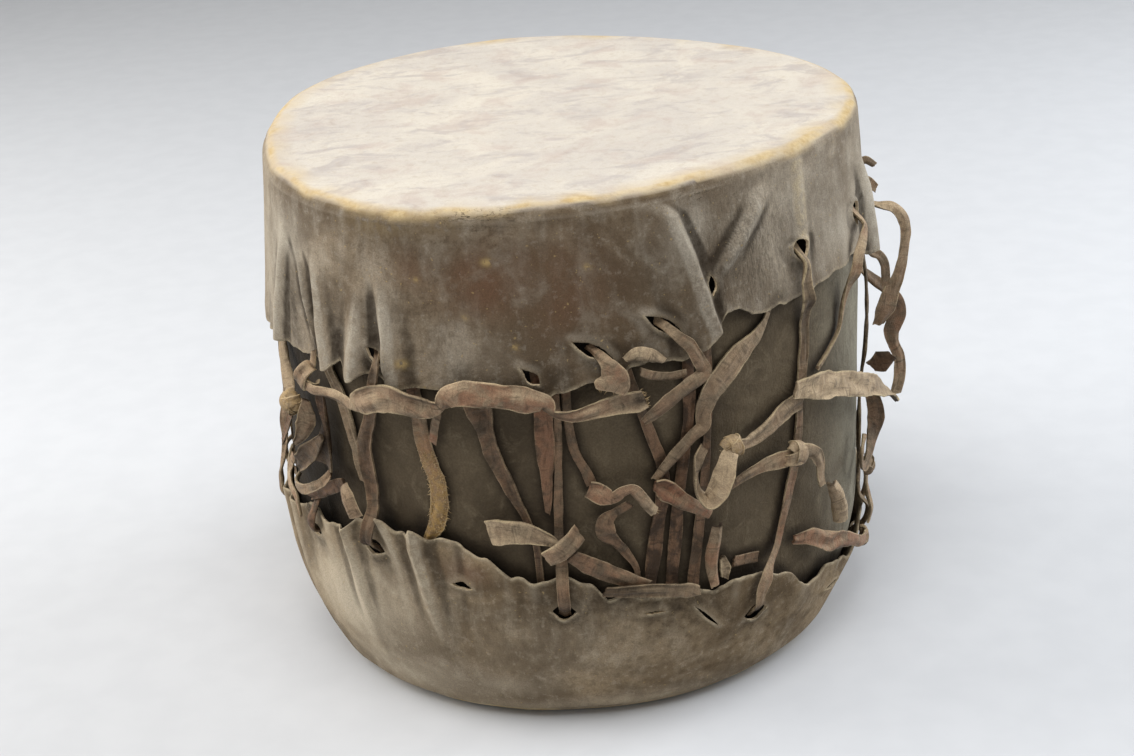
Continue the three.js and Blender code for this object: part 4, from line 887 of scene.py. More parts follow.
class Weave:
    """Gathers the ribbons and fibres of one strap and its knots into a single mesh."""

    def __init__(self):
        self.points, self.faces, self.tone, self.wear, self.places = [], [], [], [], []
        self.count = 0

    def add(self, points, faces, tone, wear, places):
        self.faces += [tuple(self.count + i for i in face) for face in faces]
        self.count += len(points)
        self.points.append(points)
        for kept, values in ((self.tone, tone), (self.wear, wear), (self.places, places)):
            kept.append(np.stack([np.broadcast_to(one, len(points)) for one in values], -1))

    def ribbon(self, path, across, width, twist, bend, tints, seed):
        """A strip along a path. bend is the angle that its section turns through."""
        red, pale, straw = tints
        along = unit(np.gradient(path, axis=0))
        steps = np.linalg.norm(np.diff(path, axis=0), axis=1)
        length = np.concatenate([[0], np.cumsum(steps)])
        normal = np.cross(across, along)
        across, normal = (
            across * np.cos(twist)[:, None] - normal * np.sin(twist)[:, None],
            normal * np.cos(twist)[:, None] + across * np.sin(twist)[:, None],
        )

        def uneven(kind, number):
            much, cell = UNEVEN[kind]
            return much * wave(length, cell, seed + number)

        width = width * (1 + uneven("width", 0))
        bend = bend + uneven("bend", 1)
        bend = np.where(np.abs(bend) < LEAST_BEND, LEAST_BEND, bend)
        ragged = [uneven("edge", number) for number in (2, 3)]
        crease = width * uneven("crease", 5)
        lip = [0.5 + uneven("lip", number) for number in (7, 8)]
        drift = uneven("drift", 6)
        arc = width / bend
        stand = np.maximum(0, arc * (1 - np.cos(0.5 * bend)))
        path = path - normal * np.minimum(stand, MOST_STAND)[:, None]
        draw = np.random.default_rng(seed + 4)
        shares = np.array(STRAP_SHARES)
        cut = []
        for _ in range(2):
            slant = draw.uniform(-CUT_SLANT, CUT_SLANT)
            cut.append(slant * shares + draw.uniform(-CUT_ROUGH, CUT_ROUGH, len(shares)))
        columns, tone, wear, places = [], [], [], []
        order = list(range(len(STRAP_SHARES)))
        for face, picked in ((1, order), (-1, order[::-1])):
            for i in picked:
                share = STRAP_SHARES[i]
                turn = share * (1 + ragged[share > 0]) * bend
                reach = arc - face * 0.5 * STRAP * STRAP_THICK[i]
                column = path + across * (reach * np.sin(turn))[:, None]
                dent = crease * np.cos(CREASE_TURN * share + drift)
                dent = dent - lip[share > 0] * smoothstep(abs(2 * share), LIP_START, 1)
                column = column + normal * (arc - reach * np.cos(turn) + dent)[:, None]
                column[0] -= along[0] * cut[0][i]
                column[-1] += along[-1] * cut[1][i]
                columns.append(column)
                edge = smoothstep(abs(2 * share), WORN_START, 1)
                # The hollow of a cupped strap's outer face, and all of its inner face, are marked for
                # painted shade.
                cupped = np.clip(-bend / 1.2, 0, 1) * (1 - (2 * share) ** 2)
                tone.append(np.stack([red, pale, np.full(len(path), edge)], -1))
                wear.append(np.stack([cupped if face < 0 else np.full(len(path), 0.5), straw], -1))
                places.append(np.stack([length * MM, (share + 0.7 * face) * width * MM], -1))
        grid = np.stack(columns, 1)
        rows, count = grid.shape[:2]
        faces = ring_faces(rows, count, flip=True)
        for row in (0, rows - 1):
            for i in range(count // 2 - 1):
                quad = [row * count + k for k in (i, i + 1, count - 2 - i, count - 1 - i)]
                faces.append(quad if row == 0 else quad[::-1])
        layers = [np.stack(layer, 1).reshape(rows * count, -1).T for layer in (tone, wear, places)]
        self.add(grid.reshape(-1, 3), faces, *layers)

    def fibres(self, roots, ways, lengths, seed, pale=0.6):
        """Loose fibres: thin tapered spikes that bend a little."""
        draw = np.random.default_rng(seed)
        for root, way, length in zip(roots, unit(ways), lengths):
            side = unit(np.cross(way, unit(draw.normal(size=3))))
            other = np.cross(way, side)
            bow = side * draw.uniform(-0.5, 0.5) * length
            points = []
            for share, radius in FIBRE_RINGS:
                for turn in FIBRE_TURNS:
                    ring = radius * (math.cos(turn) * side + math.sin(turn) * other)
                    points.append(root + way * length * share + bow * share**2 + ring)
            points.append(root + way * length + bow)
            faces = [(0, 1, 4, 3), (1, 2, 5, 4), (2, 0, 3, 5), (3, 4, 6), (4, 5, 6), (5, 3, 6), (2, 1, 0)]
            self.add(np.array(points), faces, (0.2, pale, 0.5), (0, 0.8), (0.01, 0.01))

    def piece(self, name, material):
        piece = add_mesh(name, np.concatenate(self.points), self.faces, material)
        paint(piece, "tone", *np.concatenate(self.tone).T)
        # The third of these masks is how far each point faces up: tops get painted light and undersides
        # painted shade from it.
        paint(piece, "wear", *np.concatenate(self.wear).T, 0.5 + 0.5 * facing_up(piece))
        layer = piece.data.uv_layers.new(name="along")
        corner = np.empty(len(piece.data.loops), int)
        piece.data.loops.foreach_get("vertex_index", corner)
        places = np.concatenate(self.places)[corner]
        layer.data.foreach_set("uv", places.astype(np.float32).ravel())
        piece.data.set_sharp_from_angle(angle=math.radians(STRAP_SHARP))
        return piece


def tie_knot(weave, tied, seed):
    """A knot: flat turns of strap that cross one another and tuck in behind."""
    draw = np.random.default_rng(seed)
    angle = tied["at"][0]
    middle = place(*tied["at"])
    out, up = outward(angle), np.array([0, 0, 1.0])
    east = np.cross(up, out)
    wide, tall, deep = tied["size"]
    for number in range(tied["turns"]):
        stray = draw.uniform(-KNOT["stray"], KNOT["stray"])
        tilt = math.radians(tied["tilt"] + KNOT["apart"] * number + stray)
        axis = math.cos(tilt) * east + math.sin(tilt) * up
        over = np.cross(axis, out)
        reach = 0.5 * math.hypot(wide * np.dot(over, east), tall * np.dot(over, up))
        turn = np.linspace(-KNOT["turn"], KNOT["turn"], KNOT["steps"])
        depth = (KNOT["depth"] + KNOT["deeper"] * number) * deep
        shift = draw.uniform(-KNOT["shift"], KNOT["shift"]) * wide
        path = middle + out * (depth * np.cos(turn))[:, None]
        path = path + over * (KNOT["reach"] * reach * np.sin(turn))[:, None]
        path = path + axis * (shift + KNOT["slope"] * turn)[:, None]
        even = np.ones(len(turn))
        width = KNOT["width"] * math.hypot(wide * np.dot(axis, east), tall * np.dot(axis, up))
        width = width * (1 - KNOT["narrowing"] * np.abs(turn))
        tints = [tint * even for tint in tied["tints"]]
        across, bend = even[:, None] * axis, KNOT["bend"] * even
        weave.ribbon(path, across, width, 0 * even, bend, tints, seed + 7 * number)
    if tied["fray"]:
        ways = draw.normal(size=(tied["fray"], 3)) + 0.6 * out
        roots = middle + unit(ways) * KNOT["depth"] * min(wide, tall)
        weave.fibres(roots, ways, draw.uniform(1.5, 4, tied["fray"]), seed + 60)


def strap_piece(name, shape, seed, material):
    """A strap with its uneven edges, its knots and its loose fibres."""
    path, places = strap_path(shape)
    across = strap_across(path)
    route = shape["route"]
    index = np.arange(len(route))
    width = np.interp(places, index, [p[3] if len(p) > 3 else shape["width"] for p in route])
    twist = np.interp(places, index, [p[4] if len(p) > 4 else 0 for p in route])
    twist = np.radians(twist + 10 * wave(places * 14, 30, seed + 9))
    weave = Weave()
    bend = np.radians(spread(shape["curl"], places))
    tints = [spread(tint, places) for tint in shape["tints"]]
    weave.ribbon(path, across, width, twist, bend, tints, seed)
    draw = np.random.default_rng(seed)
    along = unit(np.gradient(path, axis=0))
    out = outward(angle_of(path))
    if shape["fray"]:
        count = shape["fray"]
        roots = path[-1] + across[-1] * (draw.uniform(-0.5, 0.5, count) * width[-1])[:, None]
        ways = along[-1] + 0.35 * draw.normal(size=(count, 3)) + 0.2 * out[-1]
        weave.fibres(roots, ways, draw.uniform(1.5, 4.5, count), seed + 5)
    if shape["fuzz"]:
        first, last, count = shape["fuzz"]
        picked = draw.integers(int(first * len(path)), int(last * len(path)), count)
        aside = across[picked] * (draw.uniform(-0.5, 0.5, count) * width[picked])[:, None]
        ways = 0.35 * out[picked] + 0.6 * draw.normal(size=(count, 3)) - (0, 0, 0.3)
        weave.fibres(path[picked] + aside + 1.2 * out[picked], ways, draw.uniform(1.5, 3.6, count), seed + 6)
    for number, tied in enumerate(KNOTS.get(name, [])):
        tie_knot(weave, tied, seed + 40 + number)
    return weave.piece(name + "_strap", material)


# Materials

class Shade:
    """A procedural material, built by naming its layers."""

    def __init__(self, name):
        self.material = bpy.data.materials.new(name)
        self.material.use_nodes = True
        self.tree = self.material.node_tree
        self.shader = self.tree.nodes["Principled BSDF"]
        self.places = self.node("TexCoord").outputs["Object"]

    def set(self, socket, value):
        if isinstance(value, bpy.types.NodeSocket):
            self.tree.links.new(value, socket)
        elif hasattr(socket.default_value, "__len__") and len(socket.default_value) == 4:
            socket.default_value = (*value, 1)
        else:
            socket.default_value = value

    def node(self, kind, **inputs):
        """A new node with these values or links at its inputs."""
        node = self.tree.nodes.new("ShaderNode" + kind)
        for name, value in inputs.items():
            self.set(node.inputs[name], value)
        return node

    def noise(self, scale, detail=4, rough=0.6, stretch=None, warp=0, turn=0, places=None):
        where = places or self.places
        if stretch:
            turned = (0, 0, math.radians(turn))
            where = self.node("Mapping", Scale=stretch, Rotation=turned, Vector=where).outputs["Vector"]
        sizes = dict(Scale=scale, Detail=detail, Roughness=rough, Distortion=warp)
        return self.node("TexNoise", **sizes, Vector=where).outputs["Fac"]

    def masks(self, name):
        """The three masks painted on the piece's points."""
        read = self.node("Attribute")
        read.attribute_name = name
        split = self.node("SeparateColor", Color=read.outputs["Color"])
        return split.outputs["Red"], split.outputs["Green"], split.outputs["Blue"]

    def range(self, value, low, high, to_low=0.0, to_high=1.0):
        node = self.node("MapRange")
        node.interpolation_type = "SMOOTHSTEP"
        for socket, number in zip(node.inputs, (value, low, high, to_low, to_high)):
            self.set(socket, number)
        return node.outputs["Result"]

    def times(self, a, b):
        node = self.node("Math")
        node.operation = "MULTIPLY"
        self.set(node.inputs[0], a)
        self.set(node.inputs[1], b)
        return node.outputs["Value"]

    def mix(self, share, a, b):
        node = self.node("Mix")
        node.data_type = "RGBA"
        for name, value in (("Factor", share), ("A", a), ("B", b)):
            self.set(node.inputs[name], value)
        return node.outputs["Result"]

    def layers(self, colour, tones, rows):
        """Lays tones over a colour. A row: tone, noise, two levels, the shares there, perhaps a mask."""
        for tone, noise, low, high, weak, strong, *mask in rows:
            share = self.range(noise, low, high, weak, strong)
            if mask:
                share = self.times(mask[0], share)
            colour = self.mix(share, colour, tones[tone])
        return colour

    def bump(self, height, distance, under=None):
        node = self.node("Bump", Strength=1, Distance=distance, Height=height)
        if under is not None:
            self.set(node.inputs["Normal"], under)
        return node.outputs["Normal"]

    def finish(self, colour, roughness, normal, shine=0.2):
        shown = {"Base Color": colour, "Specular IOR Level": shine, "Roughness": roughness, "Normal": normal}
        for name, value in shown.items():
            self.set(self.shader.inputs[name], value)
        return self.material


def hide_material(name, side, head):
    """Dusty rawhide: suede sides with streaks, stains and worn ridges, a pale scraped head, and painted
    light and shade.
    """
    shade = Shade(name)
    head_mask, rim_mask, edge_mask = shade.masks("zones")
    red_mask, pale_mask, dark_mask = shade.masks("marks")
    worn_lit_ridge_mask, hollow_shade_mask, contact_shade_mask = shade.masks("relief_shade")
    hair_mask, flake_mask, crack_mask = shade.masks("traces")
    clouds = shade.noise(9, 4, 0.62, warp=1)
    patches = shade.noise(30, 4, 0.6, warp=0.5)
    streaks = shade.noise(60, 3, 0.6, stretch=(1, 1, 0.2))
    mottle = shade.noise(150, 4, 0.7)
    specks = shade.noise(380, 1, 0.5)
    grain = shade.noise(1000, 3, 0.7)
    hairs = shade.noise(600, 3, 0.6, stretch=(1, 1, 0.25), warp=0.8)

    colour = shade.mix(shade.range(clouds, 0.36, 0.64), side["dark"], side["light"])
    colour = shade.layers(colour, side, (
        ("dark", patches, 0.48, 0.68, 0, 0.65),
        ("pale", patches, 0.3, 0.48, 0.2, 0),
        ("pale", streaks, 0.45, 0.8, 0, 0.3),
        ("dark", mottle, 0.5, 0.68, 0, 0.55),
        ("pale", mottle, 0.32, 0.46, 0.2, 0),
        ("red", patches, 0.3, 0.65, 0.4, 1, red_mask),
        ("pale", clouds, 0.25, 0.7, 0.4, 1, pale_mask),
        # wear and painted highlight on ridges, dirt and painted shade in hollows and beside the straps
        ("pale", mottle, 0.3, 0.65, 0.1, 0.6, worn_lit_ridge_mask),
        ("dirt", mottle, 0.2, 0.7, 0.65, 0.9, hollow_shade_mask),
        ("dirt", mottle, 0.2, 0.7, 0.2, 0.6, contact_shade_mask),
        # dark marks, partly painted shade in fold valleys
        ("dirt", mottle, 0.2, 0.8, 0.5, 1, dark_mask),
        ("dirt", hairs, 0.42, 0.66, 0, 0.5, hair_mask),
        ("cut", mottle, 0.4, 0.62, 0.15, 0.8, edge_mask),
        ("dirt", grain, 0.3, 0.7, 0.3, 0),
        ("flake", mottle, 0.4, 0.52, 0, 1, flake_mask),
        ("flake", specks, 0.72, 0.78, 0, 0.5),
    ))
    scrape = shade.noise(45, 4, 0.65, stretch=(0.55, 1, 1), warp=0.8, turn=35)
    top = shade.mix(shade.range(clouds, 0.38, 0.62), head["cream"], head["grey"])
    top = shade.layers(top, head, (
        ("lilac", scrape, 0.48, 0.68, 0, 0.75),
        ("rose", patches, 0.5, 0.7, 0, 0.5),
        ("brown", mottle, 0.5, 0.7, 0, 0.25),
        ("brown", grain, 0.25, 0.7, 0.25, 0),
    ))
    colour = shade.mix(head_mask, colour, top)
    rim = shade.mix(shade.range(mottle, 0.3, 0.7), head["ochre"], head["honey"])
    colour = shade.mix(shade.times(rim_mask, shade.range(patches, 0.35, 0.65, 1, 0.5)), colour, rim)
    cracks = shade.noise(70, 3, 0.6, stretch=(1, 1, 4))
    crack = shade.times(shade.range(cracks, 0.48, 0.5), shade.range(cracks, 0.5, 0.52, 1, 0))
    colour = shade.mix(shade.times(crack_mask, crack), colour, side["dirt"])

    normal = shade.bump(shade.noise(42, 4, 0.55, stretch=(1, 1, 0.5)), 0.002)
    normal = shade.bump(mottle, 0.0007, normal)
    normal = shade.bump(shade.times(hair_mask, hairs), 0.0012, normal)
    normal = shade.bump(grain, 0.0004, normal)
    roughness = shade.range(mottle, 0.2, 0.8, 0.72, 0.92)
    return shade.finish(colour, roughness, normal)


def cut_material(name, pale, dark):
    """The raw cut edge of a slit."""
    shade = Shade(name)
    fibre = shade.noise(500, 4, 0.7)
    colour = shade.mix(shade.range(fibre, 0.3, 0.7), dark, pale)
    return shade.finish(colour, 0.85, shade.bump(fibre, 0.0008))


def strap_material(name, tones):
    """Dry rawhide straps: streaked along their length, worn pale at their edges, dusty and painted light on
    top, painted shade below.
    """
    shade = Shade(name)
    red_mask, pale_mask, edge_mask = shade.masks("tone")
    hollow_shade_mask, straw_mask, up_mask = shade.masks("wear")
    uv = shade.node("UVMap")
    uv.uv_map = "along"
    along = uv.outputs["UV"]
    fibres = shade.noise(420, 4, 0.65, stretch=(0.14, 1, 1), places=along)
    wrinkles = shade.noise(150, 3, 0.6, stretch=(1, 0.35, 1), warp=0.6, places=along)
    clouds = shade.noise(55, 4, 0.66, warp=0.8)
    mottle = shade.noise(260, 4, 0.7)
    grain = shade.noise(1200, 3, 0.7)
    colour = shade.mix(shade.range(clouds, 0.36, 0.66), tones["dark"], tones["brown"])
    pale_strap_share = shade.range(pale_mask, 0, 0.7, 0.2, 1)
    # Faces turned up are made paler, as dust and as painted light from above.
    dusty_mask = shade.times(shade.range(up_mask, 0.52, 0.85), pale_strap_share)
    worn_mask = shade.times(edge_mask, pale_strap_share)
    colour = shade.layers(colour, tones, (
        ("pale", wrinkles, 0.3, 0.62, 0.55, 1.1, pale_mask),
        ("red", clouds, 0.38, 0.62, 0.15, 0.9, red_mask),
        ("dark", fibres, 0.5, 0.72, 0, 0.55),
        ("dark", wrinkles, 0.55, 0.75, 0, 0.65),
        # dust and painted light on top
        ("pale", mottle, 0.3, 0.65, 0.2, 0.7, dusty_mask),
        # painted shade on faces turned down
        ("dark", up_mask, 0.1, 0.48, 0.85, 0),
        # painted shade under a strap and in a cupped hollow
        ("dirt", mottle, 0.2, 0.7, 0.45, 0.9, hollow_shade_mask),
        ("straw", mottle, 0.35, 0.62, 0.25, 1, straw_mask),
        ("edge", clouds, 0.4, 0.6, 0.05, 0.9, worn_mask),
        ("dirt", grain, 0.3, 0.7, 0.35, 0),
    ))
    normal = shade.bump(wrinkles, 0.0018)
    normal = shade.bump(fibres, 0.0006, normal)
    normal = shade.bump(mottle, 0.0005, normal)
    normal = shade.bump(grain, 0.0003, normal)
    return shade.finish(colour, shade.range(mottle, 0.2, 0.8, 0.5, 0.8), normal, 0.28)


def wood_material(name, tones):
    """Old bare wood: dull and mottled, with a little upright grain, grey dust, and grime and painted shade
    round the straps.
    """
    shade = Shade(name)
    contact_shade_mask, deep_shade_mask, dusty_mask = shade.masks("zones")
    clouds = shade.noise(14, 4, 0.6, warp=0.8)
    patches = shade.noise(55, 5, 0.65, warp=1)
    fibre = shade.noise(200, 5, 0.65, stretch=(1, 1, 0.08), warp=0.3)
    grain = shade.noise(700, 3, 0.7)
    colour = shade.mix(shade.range(clouds, 0.3, 0.7), tones["dark"], tones["light"])
    colour = shade.layers(colour, tones, (
        ("dust", patches, 0.5, 0.75, 0, 0.6),
        ("dark", fibre, 0.5, 0.75, 0, 0.25),
        ("grey", patches, 0.25, 0.6, 0.4, 0.95, dusty_mask),
        ("dirt", patches, 0.2, 0.7, 0.6, 0.9, contact_shade_mask),
    ))
    # Painted shade: nearly black where the hides cover the wood and on its shaded left side.
    colour = shade.mix(deep_shade_mask, colour, tones["deep"])
    colour = shade.layers(colour, tones, [("dirt", grain, 0.3, 0.7, 0.3, 0)])
    normal = shade.bump(fibre, 0.0005)
    normal = shade.bump(patches, 0.002, normal)
    normal = shade.bump(grain, 0.0005, normal)
    return shade.finish(colour, shade.range(patches, 0.2, 0.8, 0.75, 0.95), normal)


# Marks on the skirts as angle, height, half width in degrees, half height, strength
RED_MARKS = [(-12, 345, 9, 22, 0.7), (2, 335, 8, 30, 0.5), (-24, 352, 5, 14, 0.4), (-21, 134, 4, 9, 0.6)]
PALE_MARKS = [
    (50, 345, 20, 60, 0.6), (-70, 320, 22, 70, 0.55), (-46, 80, 18, 50, 0.95), (78, 330, 14, 60, 0.8),
    (-8, 70, 22, 40, 0.25), (-16, 290, 8, 20, 0.3), (-5, 10, 45, 12, 0.5), (24, 360, 5, 18, 0.9),
    (34, 355, 6, 14, 0.5), (-58, 352, 9, 24, 0.9), (61, 322, 9, 22, 0.8), (-31, 315, 3, 16, 0.6),
    (-38, 34, 20, 26, 0.95), (-18, 34, 12, 14, 0.6),
]
# Dark marks: the narrow tall ones along fold valleys and those by the gathered straps are painted shade; the
# others darken patches.
DARK_MARKS = [
    (-33.5, 292, 1.6, 26, 0.8), (-41.5, 292, 1.4, 22, 0.8), (-48, 290, 1.2, 20, 0.8),
    (28.6, 322, 1.6, 24, 0.7), (-57.5, 116, 5, 8, 0.5), (-39, 128, 4, 8, 0.6), (12, 276, 8, 8, 0.4),
    (-66, 290, 1.4, 30, 0.7), (-18, 372, 12, 14, 0.35), (-25, 318, 6, 22, 0.25), (14, 340, 10, 24, 0.3),
    (-56, 300, 2.6, 34, 0.9), (-53, 322, 1.4, 24, 0.6), (-48.6, 322, 0.7, 26, 0.9),
    (-41.6, 300, 2, 30, 0.6), (40, 58, 28, 42, 0.42), (6, 108, 14, 18, 0.75), (18, 88, 13, 24, 0.6),
    (3.6, 300, 5, 10, 0.45), (-16, 382, 18, 7, 0.5),
]
HAIR_MARKS = [(36, 335, 12, 55, 0.9), (-20, 320, 16, 50, 0.3), (-10, 80, 30, 40, 0.3)]
FLAKE_MARKS = [
    (-11.7, 358, 0.9, 2.4, 1), (-27.6, 288, 0.9, 3, 0.9), (5, 349, 0.6, 2, 0.8), (-16, 322, 0.5, 2, 0.7),
    (-31, 382, 7, 9, 0.2), (-20, 384, 5, 6, 0.15), (-8, 300, 0.6, 2, 0.7), (-24, 346, 0.5, 1.6, 0.7),
]
CRACK_MARKS = [(-13, 386, 7, 6, 1), (26, 382, 5, 6, 0.8)]
SCAR = [(49.8, 385), (49.5, 355), (49.4, 328)]


def blobs(marks, angle, height):
    """A soft mask of oval marks on the wall."""
    mask = np.zeros(len(angle))
    for at, middle, wide, tall, strength in marks:
        spot = np.exp(-((signed(angle - at) / wide) ** 2) - ((height - middle) / tall) ** 2)
        mask = np.maximum(mask, strength * spot)
    return mask


def line_mask(path, angle, height, half):
    """A mask along a line on the wall, so many millimetres to each side."""
    mask = np.zeros(len(angle))
    for (a0, h0), (a1, h1) in zip(path, path[1:]):
        _, out = slit_places((a0, h0, a1, h1, 0), angle, height)
        mask = np.maximum(mask, 1 - smoothstep(out, 0.5 * half, half))
    return mask


def strap_tree(straps):
    """A search tree over the middle lines of all straps."""
    points = np.concatenate([strap_path(shape)[0] for shape in straps.values()])
    tree = KDTree(len(points))
    for i, point in enumerate(points):
        tree.insert(point, i)
    tree.balance()
    return tree


def strap_gap(tree, points):
    """Millimetres from each point to the nearest strap's middle line."""
    return np.array([tree.find(point)[2] for point in points])


def paint_hide(piece, hide, tree):
    """The masks that a hide's material reads, all worked out from where each point lies."""
    points = read_points(piece)
    angle, height = angle_of(points), points[:, 2]
    radius = np.hypot(points[:, 0], points[:, 1])
    down = hide["side"] * (hide["rim"] - height)
    rim = wall_radius(angle, hide["rim"])
    inward = np.where(down < 3, rim - radius, -down)
    wavy = wavers(angle, RIM_STAIN)
    top = smoothstep(0.25 * wavy - down, -0.6 * RIM_ROUND, -0.2 * RIM_ROUND)
    band = smoothstep(inward + wavy, *RIM_BAND[:2]) * (1 - smoothstep(inward + wavy, *RIM_BAND[2:]))
    skirt = down > RIM_ROUND
    near_edge = 1 - smoothstep(hide["side"] * (height - free_edge(hide, angle)), *EDGE_WORN)
    lips = np.zeros(len(angle))
    for slit in hide["slits"]:
        above, out = slit_places(slit, angle, height)
        lips = np.maximum(lips, (1 - smoothstep(out, *LIP_WORN)) * np.where(above < 0, 1, 0.3))
    scar = line_mask(SCAR, angle, height, SCAR_HALF) * (hide["side"] > 0)
    lift = skirt_lift(hide, angle, height)
    beside = 0.5 * (skirt_lift(hide, angle - BESIDE, height) + skirt_lift(hide, angle + BESIDE, height))
    # Ridges are made paler, as wear and as painted highlight; faces of the skirts turned up are painted
    # lighter as if lit from above.
    ridge = np.where(skirt, smoothstep(lift - beside, *WORN_LIT_RIDGE), 0)
    # Hollows are darkened, as dirt and as painted shade; faces of the upper skirt turned down get painted
    # shade.
    hollow = np.where(skirt, smoothstep(beside - lift, *SHADED_HOLLOW), 0) * hide["dirt"]
    up = facing_up(piece) * skirt
    ridge = np.maximum(ridge, 0.8 * smoothstep(up, 0.12, 0.5))
    hollow = np.maximum(hollow, 0.6 * smoothstep(-up, 0.15, 0.6) * (hide["side"] > 0))
    # Next to the straps the skirt is darkened, as dirt and as painted shadow.
    contact_shade = 1 - smoothstep(strap_gap(tree, points), *CONTACT_SHADE)
    paint(piece, "zones", top, band, np.maximum(np.maximum(near_edge, lips), scar) * skirt)
    paint(piece, "marks", *(blobs(marks, angle, height) for marks in (RED_MARKS, PALE_MARKS, DARK_MARKS)))
    paint(piece, "relief_shade", ridge, hollow, contact_shade * skirt)
    cracked = blobs(CRACK_MARKS, angle, height) * (rim - radius < 7)
    paint(piece, "traces", blobs(HAIR_MARKS, angle, height), blobs(FLAKE_MARKS, angle, height), cracked)


def shell_piece(material, hides, tree):
    """The trunk, a weathered wooden tube, with grime and painted shade where straps and skirts lie on it."""
    outside = BELLY_RADIUS - SHELL_INSET
    inside = outside - SHELL_WALL
    low, high = SHELL_END_GAP, HEIGHT - SHELL_END_GAP
    profile = [(outside - SHELL_CHAMFER, low)]
    profile += [(outside, z) for z in np.linspace(low + SHELL_CHAMFER, high - SHELL_CHAMFER, SHELL_ROWS)]
    profile += [(outside - SHELL_CHAMFER, high)]
    profile += [(inside, z) for z in np.linspace(high, low, 20)]
    angle = np.linspace(-180, 180, SHELL_COLUMNS, endpoint=False)
    rows = []
    for radius, height in profile:
        worn = np.abs(ripples(angle, height, SHELL_WEAR)) if radius == outside else 0
        rows.append(cylindrical(angle, height, radius * wall_radius(angle, height) / BELLY_RADIUS - worn))
    points = np.array(rows).reshape(-1, 3)
    rings = ring_faces(len(rows) + 1, SHELL_COLUMNS, flip=True)  # the last row joins the first
    faces = [tuple(i % len(points) for i in face) for face in rings]
    piece = add_mesh("drum_shell", points, faces, material)
    piece.data.set_sharp_from_angle(angle=math.radians(SHELL_SHARP))
    around, height = angle_of(points), points[:, 2]
    # Grime and painted shadow round the straps reach further on the left, where the wood lies in shade.
    reach = 11 + 10 * (1 - smoothstep(around, -55, -38))
    contact_shade = 1 - smoothstep(strap_gap(tree, points), 0.4 * reach, reach)
    deep = np.zeros(len(points))
    for hide in hides:
        # Just past a skirt's edge the wood is darkened, as dirt and as painted shadow; under the skirt it is
        # painted nearly black as shade.
        under = hide["side"] * (free_edge(hide, around) - height)
        contact_shade = np.maximum(contact_shade, 1 - smoothstep(under, 0, 12))
        deep = np.maximum(deep, 1 - smoothstep(under, -8, 1))
    # The shaded left side of the wood is painted dark too.
    deep = np.maximum(deep, 0.8 * (1 - smoothstep(around, -54, -44)) * smoothstep(around, -100, -80))
    dusty = smoothstep(around, 44, 82) * (1 - smoothstep(around, 110, 140))
    paint(piece, "zones", contact_shade, deep, dusty)
    return piece


# The scene

# Each material's darkest tone marks dirt, grain and cracks, and is also laid on as painted shade in hollows,
# under straps and beside them.
SIDE_TONES = dict(dark=(0.125, 0.087, 0.051), light=(0.32, 0.249, 0.168), pale=(0.58, 0.525, 0.43),
                  red=(0.19, 0.09, 0.05), dirt=(0.028, 0.019, 0.011), cut=(0.52, 0.43, 0.29),
                  flake=(0.42, 0.30, 0.13))
LOWER_TONES = dict(SIDE_TONES, dark=(0.13, 0.088, 0.047), light=(0.33, 0.24, 0.14),
                   pale=(0.66, 0.57, 0.43))
HEAD_TONES = dict(cream=(0.64, 0.60, 0.53), grey=(0.56, 0.525, 0.48), brown=(0.38, 0.30, 0.22),
                  lilac=(0.43, 0.395, 0.385), rose=(0.47, 0.385, 0.35), ochre=(0.48, 0.34, 0.155),
                  honey=(0.62, 0.49, 0.28))
STRAP_TONES = dict(dark=(0.04, 0.024, 0.012), brown=(0.16, 0.102, 0.056), red=(0.30, 0.13, 0.07),
                   pale=(0.58, 0.445, 0.285), edge=(0.70, 0.56, 0.34), dirt=(0.022, 0.014, 0.008),
                   straw=(0.46, 0.29, 0.095))
# The deep tone is a near-black painted shade.
WOOD_TONES = dict(dark=(0.075, 0.055, 0.033), light=(0.14, 0.107, 0.066), dust=(0.21, 0.168, 0.11),
                  grey=(0.30, 0.28, 0.215), dirt=(0.026, 0.018, 0.011), deep=(0.012, 0.009, 0.006))
CUT_TONES = ((0.72, 0.60, 0.42), (0.46, 0.36, 0.23))
FLOOR_TONES = ((0.615, 0.635, 0.67), (0.635, 0.655, 0.69))
FLOOR_CORNERS = [(-9000, -4000, -0.5), (9000, -4000, -0.5), (9000, 14000, -0.5), (-9000, 14000, -0.5)]
SKY_COLOUR = (1.0, 0.985, 0.96, 1)
SKY_STRENGTH = 0.3
LIGHTS = [  # name, stand and target in metres, size, power, colour
    ("overhead", (-0.1, -0.8, 2.3), (0, 0, 0.3), 1.6, 34, (1, 0.98, 0.95)),
    ("left", (-2.1, 0.4, 1.4), (0, 0, 0.25), 2, 52, (1, 0.97, 0.92)),
    ("right", (2.1, 0.5, 1.3), (0, 0, 0.25), 2, 47, (0.94, 0.97, 1)),
]


def add_camera():
    """A camera where the photograph was taken from."""
    pitch, roll = math.radians(CAMERA_PITCH), math.radians(CAMERA_ROLL)
    ahead = Vector((0, math.cos(pitch), -math.sin(pitch)))
    level, above = Vector((1, 0, 0)), Vector((0, math.sin(pitch), math.cos(pitch)))
    right = math.cos(roll) * level + math.sin(roll) * above
    up = math.cos(roll) * above - math.sin(roll) * level
    lens = bpy.data.cameras.new("camera")
    lens.sensor_width = SENSOR
    lens.lens = SENSOR * FOCAL_PIXELS / PHOTO_WIDTH
    camera = add_object("camera", lens)
    turn = Matrix((right, up, -ahead)).transposed().to_4x4()
    camera.matrix_world = Matrix.Translation(Vector(CAMERA_PLACE) * MM) @ turn
    bpy.context.scene.camera = camera


def add_area_light(name, stand, target, size, power, colour):
    light = bpy.data.lights.new(name, "AREA")
    light.shape = "DISK"
    light.size = size
    light.energy = power
    light.color = colour
    lamp = add_object(name, light)
    lamp.location = stand
    lamp.rotation_euler = (Vector(target) - Vector(stand)).to_track_quat("-Z", "Y").to_euler()


